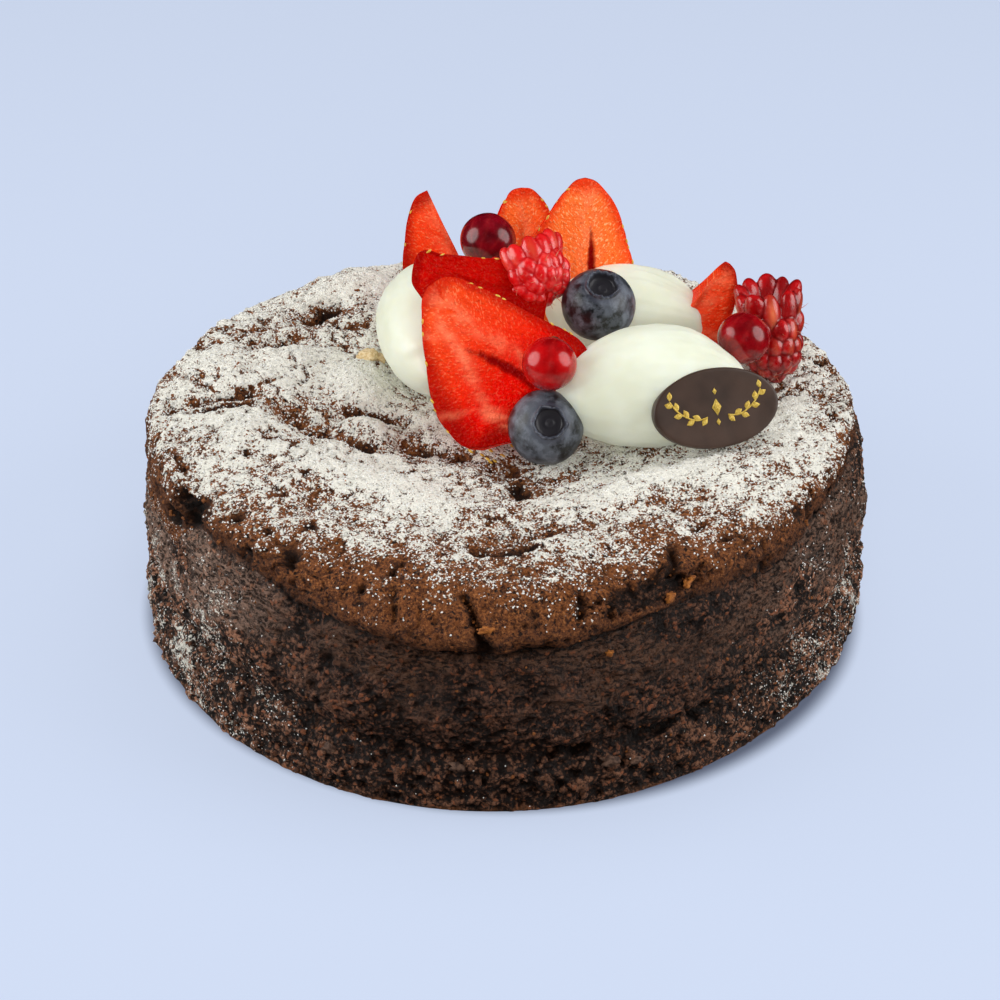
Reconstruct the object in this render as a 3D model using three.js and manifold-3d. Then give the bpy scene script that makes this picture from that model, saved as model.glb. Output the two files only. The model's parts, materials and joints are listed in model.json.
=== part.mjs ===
// A round chocolate cake, baked whole, with a sunken and cracked top. On it lie three
// spoonfuls of cream, six pieces of strawberry, two raspberries, three currants,
// two blueberries and a small oval chocolate plaque.
// Millimetres, +Z up. The side that shows faces -Y, and +X is to its right.
import * as THREE from "three";
import { mergeVertices } from "three/addons/utils/BufferGeometryUtils.js";
import Module from "manifold-3d";

const wasm = await Module();
wasm.setup();

const GAP = 0.35; // clear space kept between pieces that touch
const FINEST = 1e-3; // points closer than this are one point
const DEG = Math.PI / 180;
const FRONT = -90 * DEG; // the direction that the shown side faces

// The cake itself
const CAKE_RADIUS = 75;
const BASE_RADIUS = 75; // the flat face that it stands on
const CAKE_SIDES = 78;
const CREASE_HEIGHT = 13.4; // the fold low on the wall, at the front
const CREASE_RISE = 3; // how much higher it runs towards the flanks
const CREASE_DEPTH = 1.3;
const FOOT_SWELL = 1.3; // the wall is this much wider below the fold
const WALL_TAPER = 0.9; // and draws in this much from the fold up to the crust
const LIP_HEIGHT = 36.6; // lower edge of the crust where it hangs over
const LIP_RISE = 2.6; // how much higher the edge is where it doesn't
const LIP_IN = 2.6; // the crust's edge lies this far inside the wall at the flanks
const LIP_OUT = 0.2; // and this far outside it at the front
const UNDERCUT = 2.4; // the wall drawn in below the hanging crust
const RIM_HEIGHT = 47.8; // crest of the rim round the sunken top
const RIM_RADIUS = 62;
const BASIN_HEIGHT = 42.4; // the sunken middle
const BASIN_RADIUS = 20;
const WALL_RELIEF = 0.55; // unevenness of the wall
const CRUST_RELIEF = 0.8; // unevenness of the top

// The outline is a little out of round: waves of 2 and 3 to a turn, in millimetres
const OUTLINE_WAVES = [
  { turns: 2, cos: 0.09, sin: 1.14 },
  { turns: 3, cos: 0.39, sin: 1.49 },
];

// Mounds of the crust: place, height, and reach along and across the turn
const MOUNDS = [
  { x: -45, y: 17, rise: 2.6, long: 9, wide: 7, turn: 30 },
  { x: -30, y: 12, rise: 3.6, long: 8, wide: 6.5, turn: 80 },
  { x: -30, y: -2, rise: 2.2, long: 4, wide: 3.6, turn: 0 },
  { x: -35, y: -24, rise: 2.4, long: 12, wide: 7, turn: -35 },
  { x: -17, y: -35, rise: 2.6, long: 11, wide: 7, turn: -20 },
  { x: 29, y: -31, rise: 2.8, long: 14, wide: 6, turn: 22 },
  { x: -54, y: -14, rise: 1.6, long: 9, wide: 6, turn: 100 },
  { x: 8, y: -58, rise: 1.3, long: 13, wide: 6, turn: 5 },
  { x: 56, y: -8, rise: 1.4, long: 12, wide: 6, turn: 80 },
  { x: -30, y: 50, rise: 1.8, long: 11, wide: 6, turn: 150 },
  { x: 24, y: 56, rise: 1.6, long: 12, wide: 6, turn: 20 },
  { x: 50, y: 36, rise: 1.5, long: 9, wide: 6, turn: 125 },
];

// Cracks, folds and hollows of the crust: from, to, depth and half width
const CRACKS = [
  { from: [-69, -1], to: [-53, 4], deep: 2.4, wide: 2.6 },
  { from: [-53, 22], to: [-45, 27], deep: 2.2, wide: 2.6 },
  { from: [-43, 38], to: [-38, 43], deep: 3, wide: 3.4 },
  { from: [-45, -2], to: [-27, -10], deep: 2.8, wide: 3.4 },
  { from: [-34, 1], to: [-22, 3], deep: 2.2, wide: 3 },
  { from: [-21, -7], to: [-9, -11], deep: 2.6, wide: 3.2 },
  { from: [1, -18], to: [4, -28], deep: 3, wide: 4.4 },
  { from: [-5, -56], to: [9, -48], deep: 2, wide: 2.8 },
  { from: [8, 50], to: [4, 62], deep: 2.2, wide: 3 },
  { from: [40, 44], to: [50, 50], deep: 2, wide: 3 },
];

// The cream: middle, half sizes, and how sharp each end is
const CREAMS = [
  {
    name: "cream_front_right",
    at: [30.7, -5.4, 55.2],
    half: [21.4, 12.6, 12.9],
    turn: 12,
    sharp: [0.52, 0.9],
    droop: 1.6,
  },
  {
    name: "cream_left",
    at: [-13.6, 21.2, 54.6],
    half: [22, 14, 13],
    turn: 84,
    sharp: [0.66, 0.56],
    droop: 0.8,
  },
  {
    name: "cream_back_right",
    at: [26.6, 30.6, 52.6],
    half: [18.2, 11.4, 10.8],
    turn: -8,
    sharp: [0.56, 0.7],
    droop: 0.8,
  },
];
const CREAM_SIDES = 18;
const CREAM_RINGS = 10;
const CREAM_RIDGE = 0.035; // a spoon leaves three soft ridges along it

// The strawberries: where the stalk end and the tip are, which way the cut face looks,
// the radius, the depth behind the face as a share of it, half the length of the core's
// hollow, and for a quarter the side of the core that is left
const STRAWBERRIES = [
  {
    name: "strawberry_front",
    stalk: [12.4, -12.2, 52.4],
    tip: [-16, 4.4, 72.3],
    face: [-0.05, -0.8, 0.6],
    radius: 17.2,
    depth: 0.72,
    hollow: 9,
  },
  {
    name: "strawberry_back_right",
    stalk: [16.2, 36.5, 46.5],
    tip: [16.6, 43, 79],
    face: [0.1, -0.96, 0.22],
    radius: 13.3,
    depth: 0.8,
    hollow: 7,
  },
  {
    name: "strawberry_back_middle",
    stalk: [5.4, 41.5, 46.6],
    tip: [2.8, 46, 75],
    face: [0.25, -0.92, 0.2],
    radius: 9.8,
    depth: 0.8,
    hollow: 0,
  },
  {
    name: "strawberry_back_left",
    stalk: [-5.6, 40.5, 47],
    tip: [-18.2, 43, 75],
    face: [0.12, -0.97, 0.2],
    radius: 11.4,
    depth: 0.8,
    hollow: 0,
    side: -1,
  },
  {
    name: "strawberry_lying",
    stalk: [8.5, 12.8, 67.4],
    tip: [-19.6, 12.8, 69.4],
    face: [-0.1, -0.83, -0.55],
    radius: 10.4,
    depth: 0.85,
    hollow: 0,
  },
  {
    name: "strawberry_right",
    stalk: [38.4, 25, 48],
    tip: [47, 26, 66.6],
    face: [0.12, -0.93, 0.3],
    radius: 10.6,
    depth: 0.8,
    hollow: 0,
    side: 1,
  },
];
const STRAWBERRY_SIDES = 20;
const STRAWBERRY_RINGS = 11;

// The raspberries: middle, where the tip points, outer radius and length
const RASPBERRIES = [
  {
    name: "raspberry_middle",
    at: [5.3, 16.4, 70.4],
    tip: [-0.62, -0.62, 0.48],
    radius: 8.2,
    length: 16.5,
  },
  {
    name: "raspberry_right",
    at: [55.6, 17.6, 57.6],
    tip: [0.22, -0.3, -0.92],
    radius: 7.7,
    length: 22,
  },
];
const DRUPELET_ROWS = 6;
const DRUPELETS_ROUND = 9; // in each row
const DRUPELET_RISE = 1.5; // how far they stand out of the grooves between them

// The round berries: middle and radius, and where a blueberry's crown looks
const CURRANTS = [
  { name: "currant_front", at: [8.9, -11.5, 63.3], radius: 5.6, stalk: [0.2, 0.5, 0.84] },
  { name: "currant_back", at: [-4, 31.8, 69.2], radius: 6, stalk: [0.3, 0.9, 0.3] },
  { name: "currant_right", at: [49.3, 5.4, 60.6], radius: 5.5, stalk: [0.5, 0.5, 0.7] },
];
const BLUEBERRIES = [
  { name: "blueberry_low", at: [8.4, -14.1, 50], radius: 7.7, crown: [0.1, -0.78, 0.62] },
  { name: "blueberry_high", at: [19.2, 11, 65], radius: 7.7, crown: [0.1, -0.42, 0.9] },
];
const BERRY_SIDES = 15; // three for each point of a blueberry's crown
const ROOM_SIDES = 12; // the room kept for a round berry has fewer sides
const ROOM_SPARE = 1.04; // so it is this much larger, to hold all of the berry

// The chocolate plaque, leaning back on the cream
const PLAQUE = {
  name: "plaque",
  at: [42.4, -15.9, 56],
  face: [0.27, -0.82, 0.5],
  half: [13.4, 8.1],
  thick: 2.2,
  bevel: 0.45,
};

// A smooth unevenness of about -1 to 1, from a few crossing waves
const UNEVEN_WAVES = 5;
const GOLDEN_TURN = 2.39996;
function uneven(x, y, z, reach, seed) {
  let sum = 0;
  for (let wave = 0; wave < UNEVEN_WAVES; wave += 1) {
    const turn = GOLDEN_TURN * (wave + seed);
    const pace = (1 + 0.41 * wave) / reach;
    const along = x * Math.cos(turn) + y * Math.sin(turn) + z * Math.sin(1.7 * turn + seed);
    sum += Math.sin(along * pace + 2.1 * seed + 1.3 * wave);
  }
  return (1.7 * sum) / UNEVEN_WAVES;
}

function smooth(from, to, value) {
  return THREE.MathUtils.smoothstep(value, from, to);
}

function mix(a, b, share) {
  return a + (b - a) * share;
}

// How far an angle is from another, in degrees, without its sign
function degreesApart(a, b) {
  return Math.abs(Math.atan2(Math.sin(a - b), Math.cos(a - b))) / DEG;
}

function outlineShare(angle) {
  let share = 1;
  for (const wave of OUTLINE_WAVES) {
    share += (wave.cos * Math.cos(wave.turns * angle)) / CAKE_RADIUS;
    share += (wave.sin * Math.sin(wave.turns * angle)) / CAKE_RADIUS;
  }
  return share;
}

// 1 where the crust hangs over the wall, 0 where its edge lies inside it
function overhang(angle) {
  const atFront = 1 - smooth(13, 38, degreesApart(angle, FRONT));
  const atBack = 0.6 * (1 - smooth(20, 60, degreesApart(angle, 70 * DEG)));
  return Math.max(atFront, atBack);
}

function mound(one, x, y) {
  const turn = one.turn * DEG;
  const dx = x - one.x;
  const dy = y - one.y;
  const along = (dx * Math.cos(turn) + dy * Math.sin(turn)) / one.long;
  const across = (dy * Math.cos(turn) - dx * Math.sin(turn)) / one.wide;
  return one.rise * Math.exp(-(along * along + across * across));
}

function crack(one, x, y) {
  const [ax, ay] = one.from;
  const [bx, by] = one.to;
  const length = (bx - ax) ** 2 + (by - ay) ** 2;
  const share = ((x - ax) * (bx - ax) + (y - ay) * (by - ay)) / length;
  const held = THREE.MathUtils.clamp(share, 0, 1);
  const away = Math.hypot(x - mix(ax, bx, held), y - mix(ay, by, held)) / one.wide;
  return -one.deep * Math.exp(-away * away);
}

// What the mounds, cracks and unevenness add to the top at a place
function topRelief(x, y) {
  let height = CRUST_RELIEF * uneven(x, y, 0, 7, 2);
  for (const one of MOUNDS) height += mound(one, x, y);
  for (const one of CRACKS) height += crack(one, x, y);
  return height;
}

function basin(radius) {
  return mix(BASIN_HEIGHT, RIM_HEIGHT, smooth(BASIN_RADIUS, RIM_RADIUS - 4, radius));
}

// The cake's section at an angle: radius, height, and how much of the top's relief it takes
function cakeSection(angle) {
  const over = overhang(angle);
  const aside = smooth(20, 60, degreesApart(angle, FRONT));
  const crease = CREASE_HEIGHT + CREASE_RISE * aside + 0.7 * Math.sin(5 * angle);
  const lip = LIP_HEIGHT + LIP_RISE * (1 - over) + 0.7 * Math.sin(7 * angle + 1) * (1 - over);
  const wall = CAKE_RADIUS;
  const edge = wall + mix(-LIP_IN, LIP_OUT, over);
  const under = wall - mix(2, UNDERCUT, over);
  const points = [
    [0, 0, 0],
    [BASE_RADIUS * 0.6, 0, 0],
    [BASE_RADIUS, 0, 0],
    [wall + FOOT_SWELL - 0.3, 0.9, 0],
    [wall + FOOT_SWELL, 3.6, 0],
    [wall + FOOT_SWELL, 7.2, 0],
    [wall + 0.5, crease - 2.2, 0],
    [wall - CREASE_DEPTH, crease, 0],
    [wall - 0.3, crease + 1.7, 0],
    [wall + 0.7, crease + 5.4, 0],
    [wall + 0.4, mix(crease, lip, 0.55), 0],
    [wall - mix(0.4, WALL_TAPER, over), lip - 6.4, 0],
    [wall - mix(WALL_TAPER, 1.7, over), lip - 3, 0],
    [under, lip - 0.9, 0],
    [mix(under, edge, 0.55), lip - mix(-0.3, 0.9, over), 0],
    [edge, lip + mix(0.8, 0.2, over), 0],
    [edge + mix(0.3, 0.7, over), lip + 2.4, 0.1],
    [edge - mix(0.2, 0.6, over), lip + 5, 0.3],
    [edge - mix(1.6, 3.2, over), lip + mix(7.4, 8, over), 0.6],
    [69, RIM_HEIGHT - 0.9, 0.9],
    [66, RIM_HEIGHT - 0.3, 1],
  ];
  for (const radius of [61, 55.5, 50, 44.5, 39, 33.5, 28, 22, 15.5, 8.5]) {
    points.push([radius, basin(radius), 1]);
  }
  points.push([0, BASIN_HEIGHT, 1]);
  return points;
}

function cakePoint(ring, angle) {
  const [radius, height, relief] = cakeSection(angle)[ring];
  const round = radius * outlineShare(angle);
  const x = round * Math.cos(angle);
  const y = round * Math.sin(angle);
  const top = relief * topRelief(x, y);
  const onWall = smooth(0.5, 5, height) * (1 - relief) * smooth(60, 70, radius);
  const swell = 1 + (WALL_RELIEF * onWall * uneven(x, y, 1.6 * height, 6, 5)) / CAKE_RADIUS;
  return new THREE.Vector3(x * swell, y * swell, height + top);
}

// Geometry with its shared points merged and its collapsed triangles dropped
function welded(geometry) {
  const bare = geometry.clone();
  bare.deleteAttribute("normal");
  bare.deleteAttribute("uv");
  const merged = mergeVertices(bare, FINEST);
  const kept = [];
  const corners = merged.index.array;
  for (let i = 0; i < corners.length; i += 3) {
    const [a, b, c] = [corners[i], corners[i + 1], corners[i + 2]];
    if (a !== b && b !== c && c !== a) kept.push(a, b, c);
  }
  merged.setIndex(kept);
  return merged;
}

function volumeOf(geometry) {
  const place = geometry.attributes.position;
  const corners = geometry.index.array;
  const [a, b, c] = [new THREE.Vector3(), new THREE.Vector3(), new THREE.Vector3()];
  let volume = 0;
  for (let i = 0; i < corners.length; i += 3) {
    a.fromBufferAttribute(place, corners[i]);
    b.fromBufferAttribute(place, corners[i + 1]);
    c.fromBufferAttribute(place, corners[i + 2]);
    volume += a.dot(b.cross(c)) / 6;
  }
  return volume;
}

// A closed geometry as a solid that can be joined and cut
function solidOf(geometry) {
  const clean = welded(geometry);
  const corners = Uint32Array.from(clean.index.array);
  if (volumeOf(clean) < 0) corners.reverse();
  const shape = new wasm.Mesh({
    numProp: 3,
    vertProperties: Float32Array.from(clean.attributes.position.array),
    triVerts: corners,
  });
  return new wasm.Manifold(shape);
}

// The largest body of a solid, as scraps that a cut leaves are dropped
function largestOf(solid) {
  let best = null;
  for (const body of solid.decompose()) {
    if (best === null || body.volume() > best.volume()) best = body;
  }
  return best;
}

function geometryOf(solid) {
  const shape = solid.getMesh();
  const geometry = new THREE.BufferGeometry();
  geometry.setAttribute("position", new THREE.BufferAttribute(shape.vertProperties, 3));
  geometry.setIndex(new THREE.BufferAttribute(shape.triVerts, 1));
  return geometry;
}

// A body turned about Z from an outline of radius and height, each point then moved by a rule
function turned(outline, sides, move) {
  const points = outline.map(([radius, height]) => new THREE.Vector2(radius, height));
  const geometry = new THREE.LatheGeometry(points, sides);
  geometry.rotateX(Math.PI / 2);
  if (!move) return geometry;
  const place = geometry.attributes.position;
  for (let i = 0; i < place.count; i += 1) {
    const side = Math.floor(i / points.length) % sides;
    const moved = move(i % points.length, (2 * Math.PI * side) / sides, outline);
    place.setXYZ(i, moved.x, moved.y, moved.z);
  }
  return geometry;
}

function cakeGeometry() {
  const outline = cakeSection(FRONT).map(([radius, height]) => [radius, height]);
  return turned(outline, CAKE_SIDES, cakePoint);
}

// A spoonful of cream along X: an egg drawn out to two ends by the spoon
function creamGeometry(cream, grow) {
  const half = cream.half.map((size) => size + grow);
  const outline = [];
  for (let ring = 0; ring <= CREAM_RINGS; ring += 1) {
    outline.push([1 - Math.abs((2 * ring) / CREAM_RINGS - 1), ring]);
  }
  return turned(outline, CREAM_SIDES, (ring, angle) => {
    const along = -Math.cos((Math.PI * ring) / CREAM_RINGS);
    const sharp = mix(cream.sharp[0], cream.sharp[1], (along + 1) / 2);
    const width = Math.max(0, 1 - along * along) ** sharp;
    const ridge = 1 + CREAM_RIDGE * Math.cos(3 * angle - 90 * DEG);
    return new THREE.Vector3(
      half[0] * along,
      half[1] * width * ridge * Math.cos(angle),
      half[2] * width * ridge * Math.sin(angle) - cream.droop * along * along,
    );
  });
}

// A half strawberry along Z, stalk end at the origin, its cut face towards -Y
function strawberryGeometry(berry, grow) {
  const length = new THREE.Vector3(...berry.tip).distanceTo(new THREE.Vector3(...berry.stalk));
  const curve = new THREE.SplineCurve([
    new THREE.Vector2(0, 0.03),
    new THREE.Vector2(0.5, 0),
    new THREE.Vector2(0.86, 0.07),
    new THREE.Vector2(1, 0.22),
    new THREE.Vector2(0.92, 0.44),
    new THREE.Vector2(0.66, 0.7),
    new THREE.Vector2(0.36, 0.9),
    new THREE.Vector2(0.14, 0.985),
    new THREE.Vector2(0, 1),
  ]);
  const outline = curve.getSpacedPoints(STRAWBERRY_RINGS).map((point) => [
    Math.max(0, point.x) * berry.radius,
    point.y * length,
  ]);
  outline[0][0] = 0;
  outline[STRAWBERRY_RINGS][0] = 0;
  return turned(outline, STRAWBERRY_SIDES, (ring, angle) => {
    const [radius, height] = outline[ring];
    const share = height / length;
    const bump = 1 + 0.05 * Math.sin(3 * angle + 9 * share) + 0.03 * Math.sin(5 * angle - 4 * share);
    const wide = (radius + (radius > 0 ? grow : 0)) * bump;
    return new THREE.Vector3(
      wide * Math.cos(angle),
      wide * Math.sin(angle) * berry.depth,
      height + grow * (2 * share - 1),
    );
  });
}

// Keeps what lies behind a berry's cut face, and cuts the hollow of its core
function strawberrySolid(berry, grow) {
  const size = 4 * berry.radius;
  const behind = new THREE.BoxGeometry(size, size, size);
  behind.translate(0, size / 2 - grow, berry.radius);
  let solid = solidOf(strawberryGeometry(berry, grow)).intersect(solidOf(behind));
  if (berry.side) {
    const beside = new THREE.BoxGeometry(size, 2 * size, 2 * size);
    beside.translate(berry.side * (size / 2 - 0.08 * berry.radius - grow), 0, berry.radius);
    solid = solid.intersect(solidOf(beside));
  }
  if (berry.hollow > 0 && grow === 0) {
    const core = new THREE.IcosahedronGeometry(1, 1);
    core.scale(berry.hollow * 0.2, berry.hollow * 0.22, berry.hollow);
    core.translate(0, 0, berry.radius * 0.95);
    solid = solid.subtract(solidOf(core));
  }
  return solid;
}

// A raspberry along Z with its tip up: rows of round drupelets about a hollow core
function raspberrySolid(berry, grow) {
  const skin = new THREE.SplineCurve([
    new THREE.Vector2(0.8, 0),
    new THREE.Vector2(1, 0.24),
    new THREE.Vector2(0.97, 0.52),
    new THREE.Vector2(0.68, 0.84),
    new THREE.Vector2(0, 1),
  ]);
  const rings = grow > 0 ? 6 : 3 * DRUPELET_ROWS;
  const reach = berry.radius * (grow > 0 ? ROOM_SPARE : 1) + grow;
  const outline = [[0, grow > 0 ? -grow : 0.55 * berry.length]];
  if (grow === 0) outline.push([0.3 * reach, 0.42 * berry.length], [0.48 * reach, 0.08 * berry.length]);
  const first = outline.length;
  for (const point of skin.getSpacedPoints(rings)) {
    outline.push([point.x * reach, point.y * (berry.length + 2 * grow) - grow]);
  }
  outline[outline.length - 1][0] = 0;
  const move = (ring, angle) => {
    const [wide, height] = outline[ring];
    const along = (ring - first) / 3;
    const row = Math.floor(along);
    const dome = Math.sin(Math.PI * (along - row)) ** 0.6;
    const turn = 0.5 * DRUPELETS_ROUND * angle + 0.5 * Math.PI * (row % 2);
    const across = Math.abs(Math.cos(turn)) ** 0.7;
    const inner = ring < first ? 0 : DRUPELET_RISE * (dome * (0.2 + 0.8 * across) - 1);
    const width = wide > 0 ? wide + inner : 0;
    const lift = ring < first || wide === 0 ? 0 : 0.5 * inner * (2 * along / DRUPELET_ROWS - 1);
    return new THREE.Vector3(width * Math.cos(angle), width * Math.sin(angle), height + lift);
  };
  const body = grow > 0 ? turned(outline, ROOM_SIDES) : turned(outline, 4 * DRUPELETS_ROUND, move);
  body.translate(0, 0, -berry.length / 2);
  return solidOf(body);
}

// A ball with a dried stalk end at its top, drawn as an outline
function currantSolid(berry, grow) {
  const radius = (berry.radius + grow) * (grow > 0 ? ROOM_SPARE : 1);
  const outline = [];
  const rings = 8;
  for (let ring = 0; ring < rings; ring += 1) {
    const angle = mix(-90, 74, ring / (rings - 1)) * DEG;
    outline.push([radius * Math.cos(angle), radius * 0.97 * Math.sin(angle)]);
  }
  outline[0][0] = 0;
  outline.push([0.11 * radius, 1.06 * radius]);
  outline.push([0, 1.05 * radius]);
  return solidOf(turned(outline, grow > 0 ? ROOM_SIDES : 14));
}

// A ball a little flattened, with a star-shaped crown round a small hollow at its top
function blueberrySolid(berry, grow) {
  const radius = (berry.radius + grow) * (grow > 0 ? ROOM_SPARE : 1);
  const outline = [];
  const rings = 10;
  for (let ring = 0; ring < rings; ring += 1) {
    const angle = mix(-90, 62, ring / (rings - 1)) * DEG;
    outline.push([radius * Math.cos(angle), radius * 0.93 * Math.sin(angle)]);
  }
  outline[0][0] = 0;
  if (grow > 0) {
    outline.push([0.36 * radius, 0.98 * radius], [0, 0.98 * radius]);
    return solidOf(turned(outline, ROOM_SIDES));
  }
  const rim = outline.length;
  outline.push([0.43 * radius, 0.93 * radius], [0.36 * radius, 0.92 * radius]);
  outline.push([0.3 * radius, 0.78 * radius], [0, 0.72 * radius]);
  const star = turned(outline, BERRY_SIDES, (ring, angle) => {
    const [wide, height] = outline[ring];
    const points = ring >= rim && ring <= rim + 1 ? 0.12 * Math.cos(5 * angle) : 0;
    const reach = wide * (1 + points);
    return new THREE.Vector3(reach * Math.cos(angle), reach * Math.sin(angle), height + 1.6 * points);
  });
  return solidOf(star);
}

// The plaque lies in XY about its middle, its face up
function plaqueSolid(plaque, grow) {
  const oval = new THREE.Shape();
  const bevel = plaque.bevel;
  oval.absellipse(0, 0, plaque.half[0] + grow - bevel, plaque.half[1] + grow - bevel, 0, 2 * Math.PI);
  const geometry = new THREE.ExtrudeGeometry(oval, {
    depth: plaque.thick + 2 * grow - 2 * bevel,
    curveSegments: 20,
    bevelSize: bevel,
    bevelThickness: bevel,
    bevelSegments: 1,
  });
  geometry.translate(0, 0, -plaque.thick / 2 - grow + bevel);
  return solidOf(geometry);
}

// A place whose Z runs along one direction and whose Y leans to another
function placeAlong(at, alongZ, towardY) {
  const z = new THREE.Vector3(...alongZ).normalize();
  const x = new THREE.Vector3(...towardY).cross(z).normalize();
  const y = z.clone().cross(x);
  return new THREE.Matrix4().makeBasis(x, y, z).setPosition(...at);
}

const FOOD = {
  cake: { color: 0x4a2f22, roughness: 0.85, metalness: 0 },
  cream: { color: 0xf4efdf, roughness: 0.45, metalness: 0 },
  strawberry: { color: 0xc8200f, roughness: 0.35, metalness: 0 },
  raspberry: { color: 0xb01226, roughness: 0.4, metalness: 0 },
  currant: { color: 0x9c0a18, roughness: 0.12, metalness: 0 },
  blueberry: { color: 0x252c40, roughness: 0.55, metalness: 0 },
  chocolate: { color: 0x3d2a25, roughness: 0.3, metalness: 0 },
};

const pieces = [];

// Adds a piece: its solid at a place, and a copy a gap larger that softer pieces make room for
function addPiece(name, finish, place, build) {
  const cells = place.toArray();
  pieces.push({
    name,
    finish,
    place,
    solid: build(0).transform(cells),
    room: build(GAP).transform(cells),
  });
}

// The hardest pieces come first: each one presses into those that follow it
function addToppings() {
  addPiece(PLAQUE.name, "chocolate", placeAlong(PLAQUE.at, PLAQUE.face, [0, 0, 1]), (grow) =>
    plaqueSolid(PLAQUE, grow),
  );
  for (const berry of BLUEBERRIES) {
    addPiece(berry.name, "blueberry", placeAlong(berry.at, berry.crown, [1, 0, 0]), (grow) =>
      blueberrySolid(berry, grow),
    );
  }
  for (const berry of CURRANTS) {
    addPiece(berry.name, "currant", placeAlong(berry.at, berry.stalk, [1, 0, 0]), (grow) =>
      currantSolid(berry, grow),
    );
  }
  for (const berry of RASPBERRIES) {
    addPiece(berry.name, "raspberry", placeAlong(berry.at, berry.tip, [1, 0, 0]), (grow) =>
      raspberrySolid(berry, grow),
    );
  }
  for (const berry of STRAWBERRIES) {
    const axis = new THREE.Vector3(...berry.tip).sub(new THREE.Vector3(...berry.stalk));
    const back = berry.face.map((part) => -part);
    addPiece(berry.name, "strawberry", placeAlong(berry.stalk, axis.toArray(), back), (grow) =>
      strawberrySolid(berry, grow),
    );
  }
  for (const cream of CREAMS) {
    const place = new THREE.Matrix4().makeRotationZ(cream.turn * DEG).setPosition(...cream.at);
    addPiece(cream.name, "cream", place, (grow) => solidOf(creamGeometry(cream, grow)));
  }
}

function makeMesh(name, finish, geometry, place) {
  const mesh = new THREE.Mesh(geometry, new THREE.MeshStandardMaterial(FOOD[finish]));
  mesh.name = name;
  if (place) {
    geometry.applyMatrix4(place.clone().invert());
    place.decompose(mesh.position, mesh.quaternion, mesh.scale);
  }
  return mesh;
}

const chocolateCake = new THREE.Group();
const cakeBody = cakeGeometry();
const cakeRoom = solidOf(cakeBody).translate([0, 0, GAP]);
chocolateCake.add(makeMesh("cake", "cake", welded(cakeBody), null));

addToppings();
pieces.forEach((piece, index) => {
  let solid = piece.solid.subtract(cakeRoom);
  for (const harder of pieces.slice(0, index)) solid = solid.subtract(harder.room);
  const geometry = geometryOf(largestOf(solid));
  chocolateCake.add(makeMesh(piece.name, piece.finish, geometry, piece.place));
});

export default chocolateCake;
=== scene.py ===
# A round chocolate cake dusted with sugar, with cream, fruit and a small chocolate plaque on it.
# The dictionaries hold millimetres, and the meshes are made in metres, +Z up, the shown side to -Y.
import json
import math

import bmesh
import bpy
import numpy as np
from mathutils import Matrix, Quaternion, Vector

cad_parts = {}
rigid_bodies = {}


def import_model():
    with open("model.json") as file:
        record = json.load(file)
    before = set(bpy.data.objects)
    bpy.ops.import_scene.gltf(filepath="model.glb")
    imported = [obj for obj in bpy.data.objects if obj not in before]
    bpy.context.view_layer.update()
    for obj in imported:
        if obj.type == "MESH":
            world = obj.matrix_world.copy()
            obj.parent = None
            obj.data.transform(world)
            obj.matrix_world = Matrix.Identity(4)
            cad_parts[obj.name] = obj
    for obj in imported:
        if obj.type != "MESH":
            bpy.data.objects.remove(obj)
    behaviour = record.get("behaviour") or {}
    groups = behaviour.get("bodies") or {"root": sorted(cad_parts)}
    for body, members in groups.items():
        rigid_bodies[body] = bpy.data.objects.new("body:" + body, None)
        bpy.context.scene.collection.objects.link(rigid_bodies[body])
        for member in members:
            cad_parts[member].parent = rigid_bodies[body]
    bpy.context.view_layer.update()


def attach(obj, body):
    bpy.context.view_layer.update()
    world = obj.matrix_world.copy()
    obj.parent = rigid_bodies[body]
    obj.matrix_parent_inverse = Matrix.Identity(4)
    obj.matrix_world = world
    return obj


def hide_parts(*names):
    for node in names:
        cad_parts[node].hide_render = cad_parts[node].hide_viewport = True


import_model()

mm = 0.001
turnRound = 2 * math.pi
deg = math.pi / 180
cellFactors = (73856093, 19349663, 83492791)  # large primes that scatter the cells of a grid
saltFactor, saltStart = 40503, 977
mixRounds = ((15, 2246822519), (13, 3266489917))  # shift and factor
lastMask = 0xFFFFFF


# numbers and noise
def smooth(low, high, value):
    part = np.clip((value - low) / (high - low), 0, 1)
    return part * part * (3 - 2 * part)


def mix(a, b, share):
    return a + (b - a) * share


def bell(away, wide):  # 1 in the middle, and next to nothing from twice the width on
    return np.exp(-((away / wide) ** 2))


def unit(vectors):
    vectors = np.asarray(vectors, float)
    return vectors / np.maximum(np.linalg.norm(vectors, axis=-1, keepdims=True), 1e-12)


def degreesApart(a, b):
    return np.degrees(np.abs(np.arctan2(np.sin(a - b), np.cos(a - b))))


def hashed(cell, salt):  # one number from 0 to 1 for each cell of a grid
    mixed = np.uint32(saltFactor * salt + saltStart)
    for axis, factor in enumerate(cellFactors):
        mixed = mixed ^ (cell[..., axis].astype(np.int64).astype(np.uint32) * np.uint32(factor))
    for shift, factor in mixRounds:
        mixed = (mixed ^ (mixed >> np.uint32(shift))) * np.uint32(factor)
    return ((mixed ^ (mixed >> np.uint32(16))) & np.uint32(lastMask)) / float(lastMask + 1)


def hashedVector(cell, salt):
    return np.stack([hashed(cell, salt + axis) for axis in range(3)], 1)


def noise(points, reach, seed):  # smooth, from about -1 to 1, its features as large as reach
    place = points / reach + 11.7 * seed
    cell = np.floor(place)
    part = place - cell
    ease = part ** 3 * (part * (part * 6 - 15) + 10)
    total = np.zeros(len(points))
    for corner in map(np.array, np.ndindex(2, 2, 2)):
        slope = hashedVector(cell + corner, 3 * seed) * 2 - 1
        weight = np.prod(np.where(corner == 1, ease, 1 - ease), axis=1)
        total += weight * ((part - corner) * slope).sum(1)
    return 1.9 * total


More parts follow.
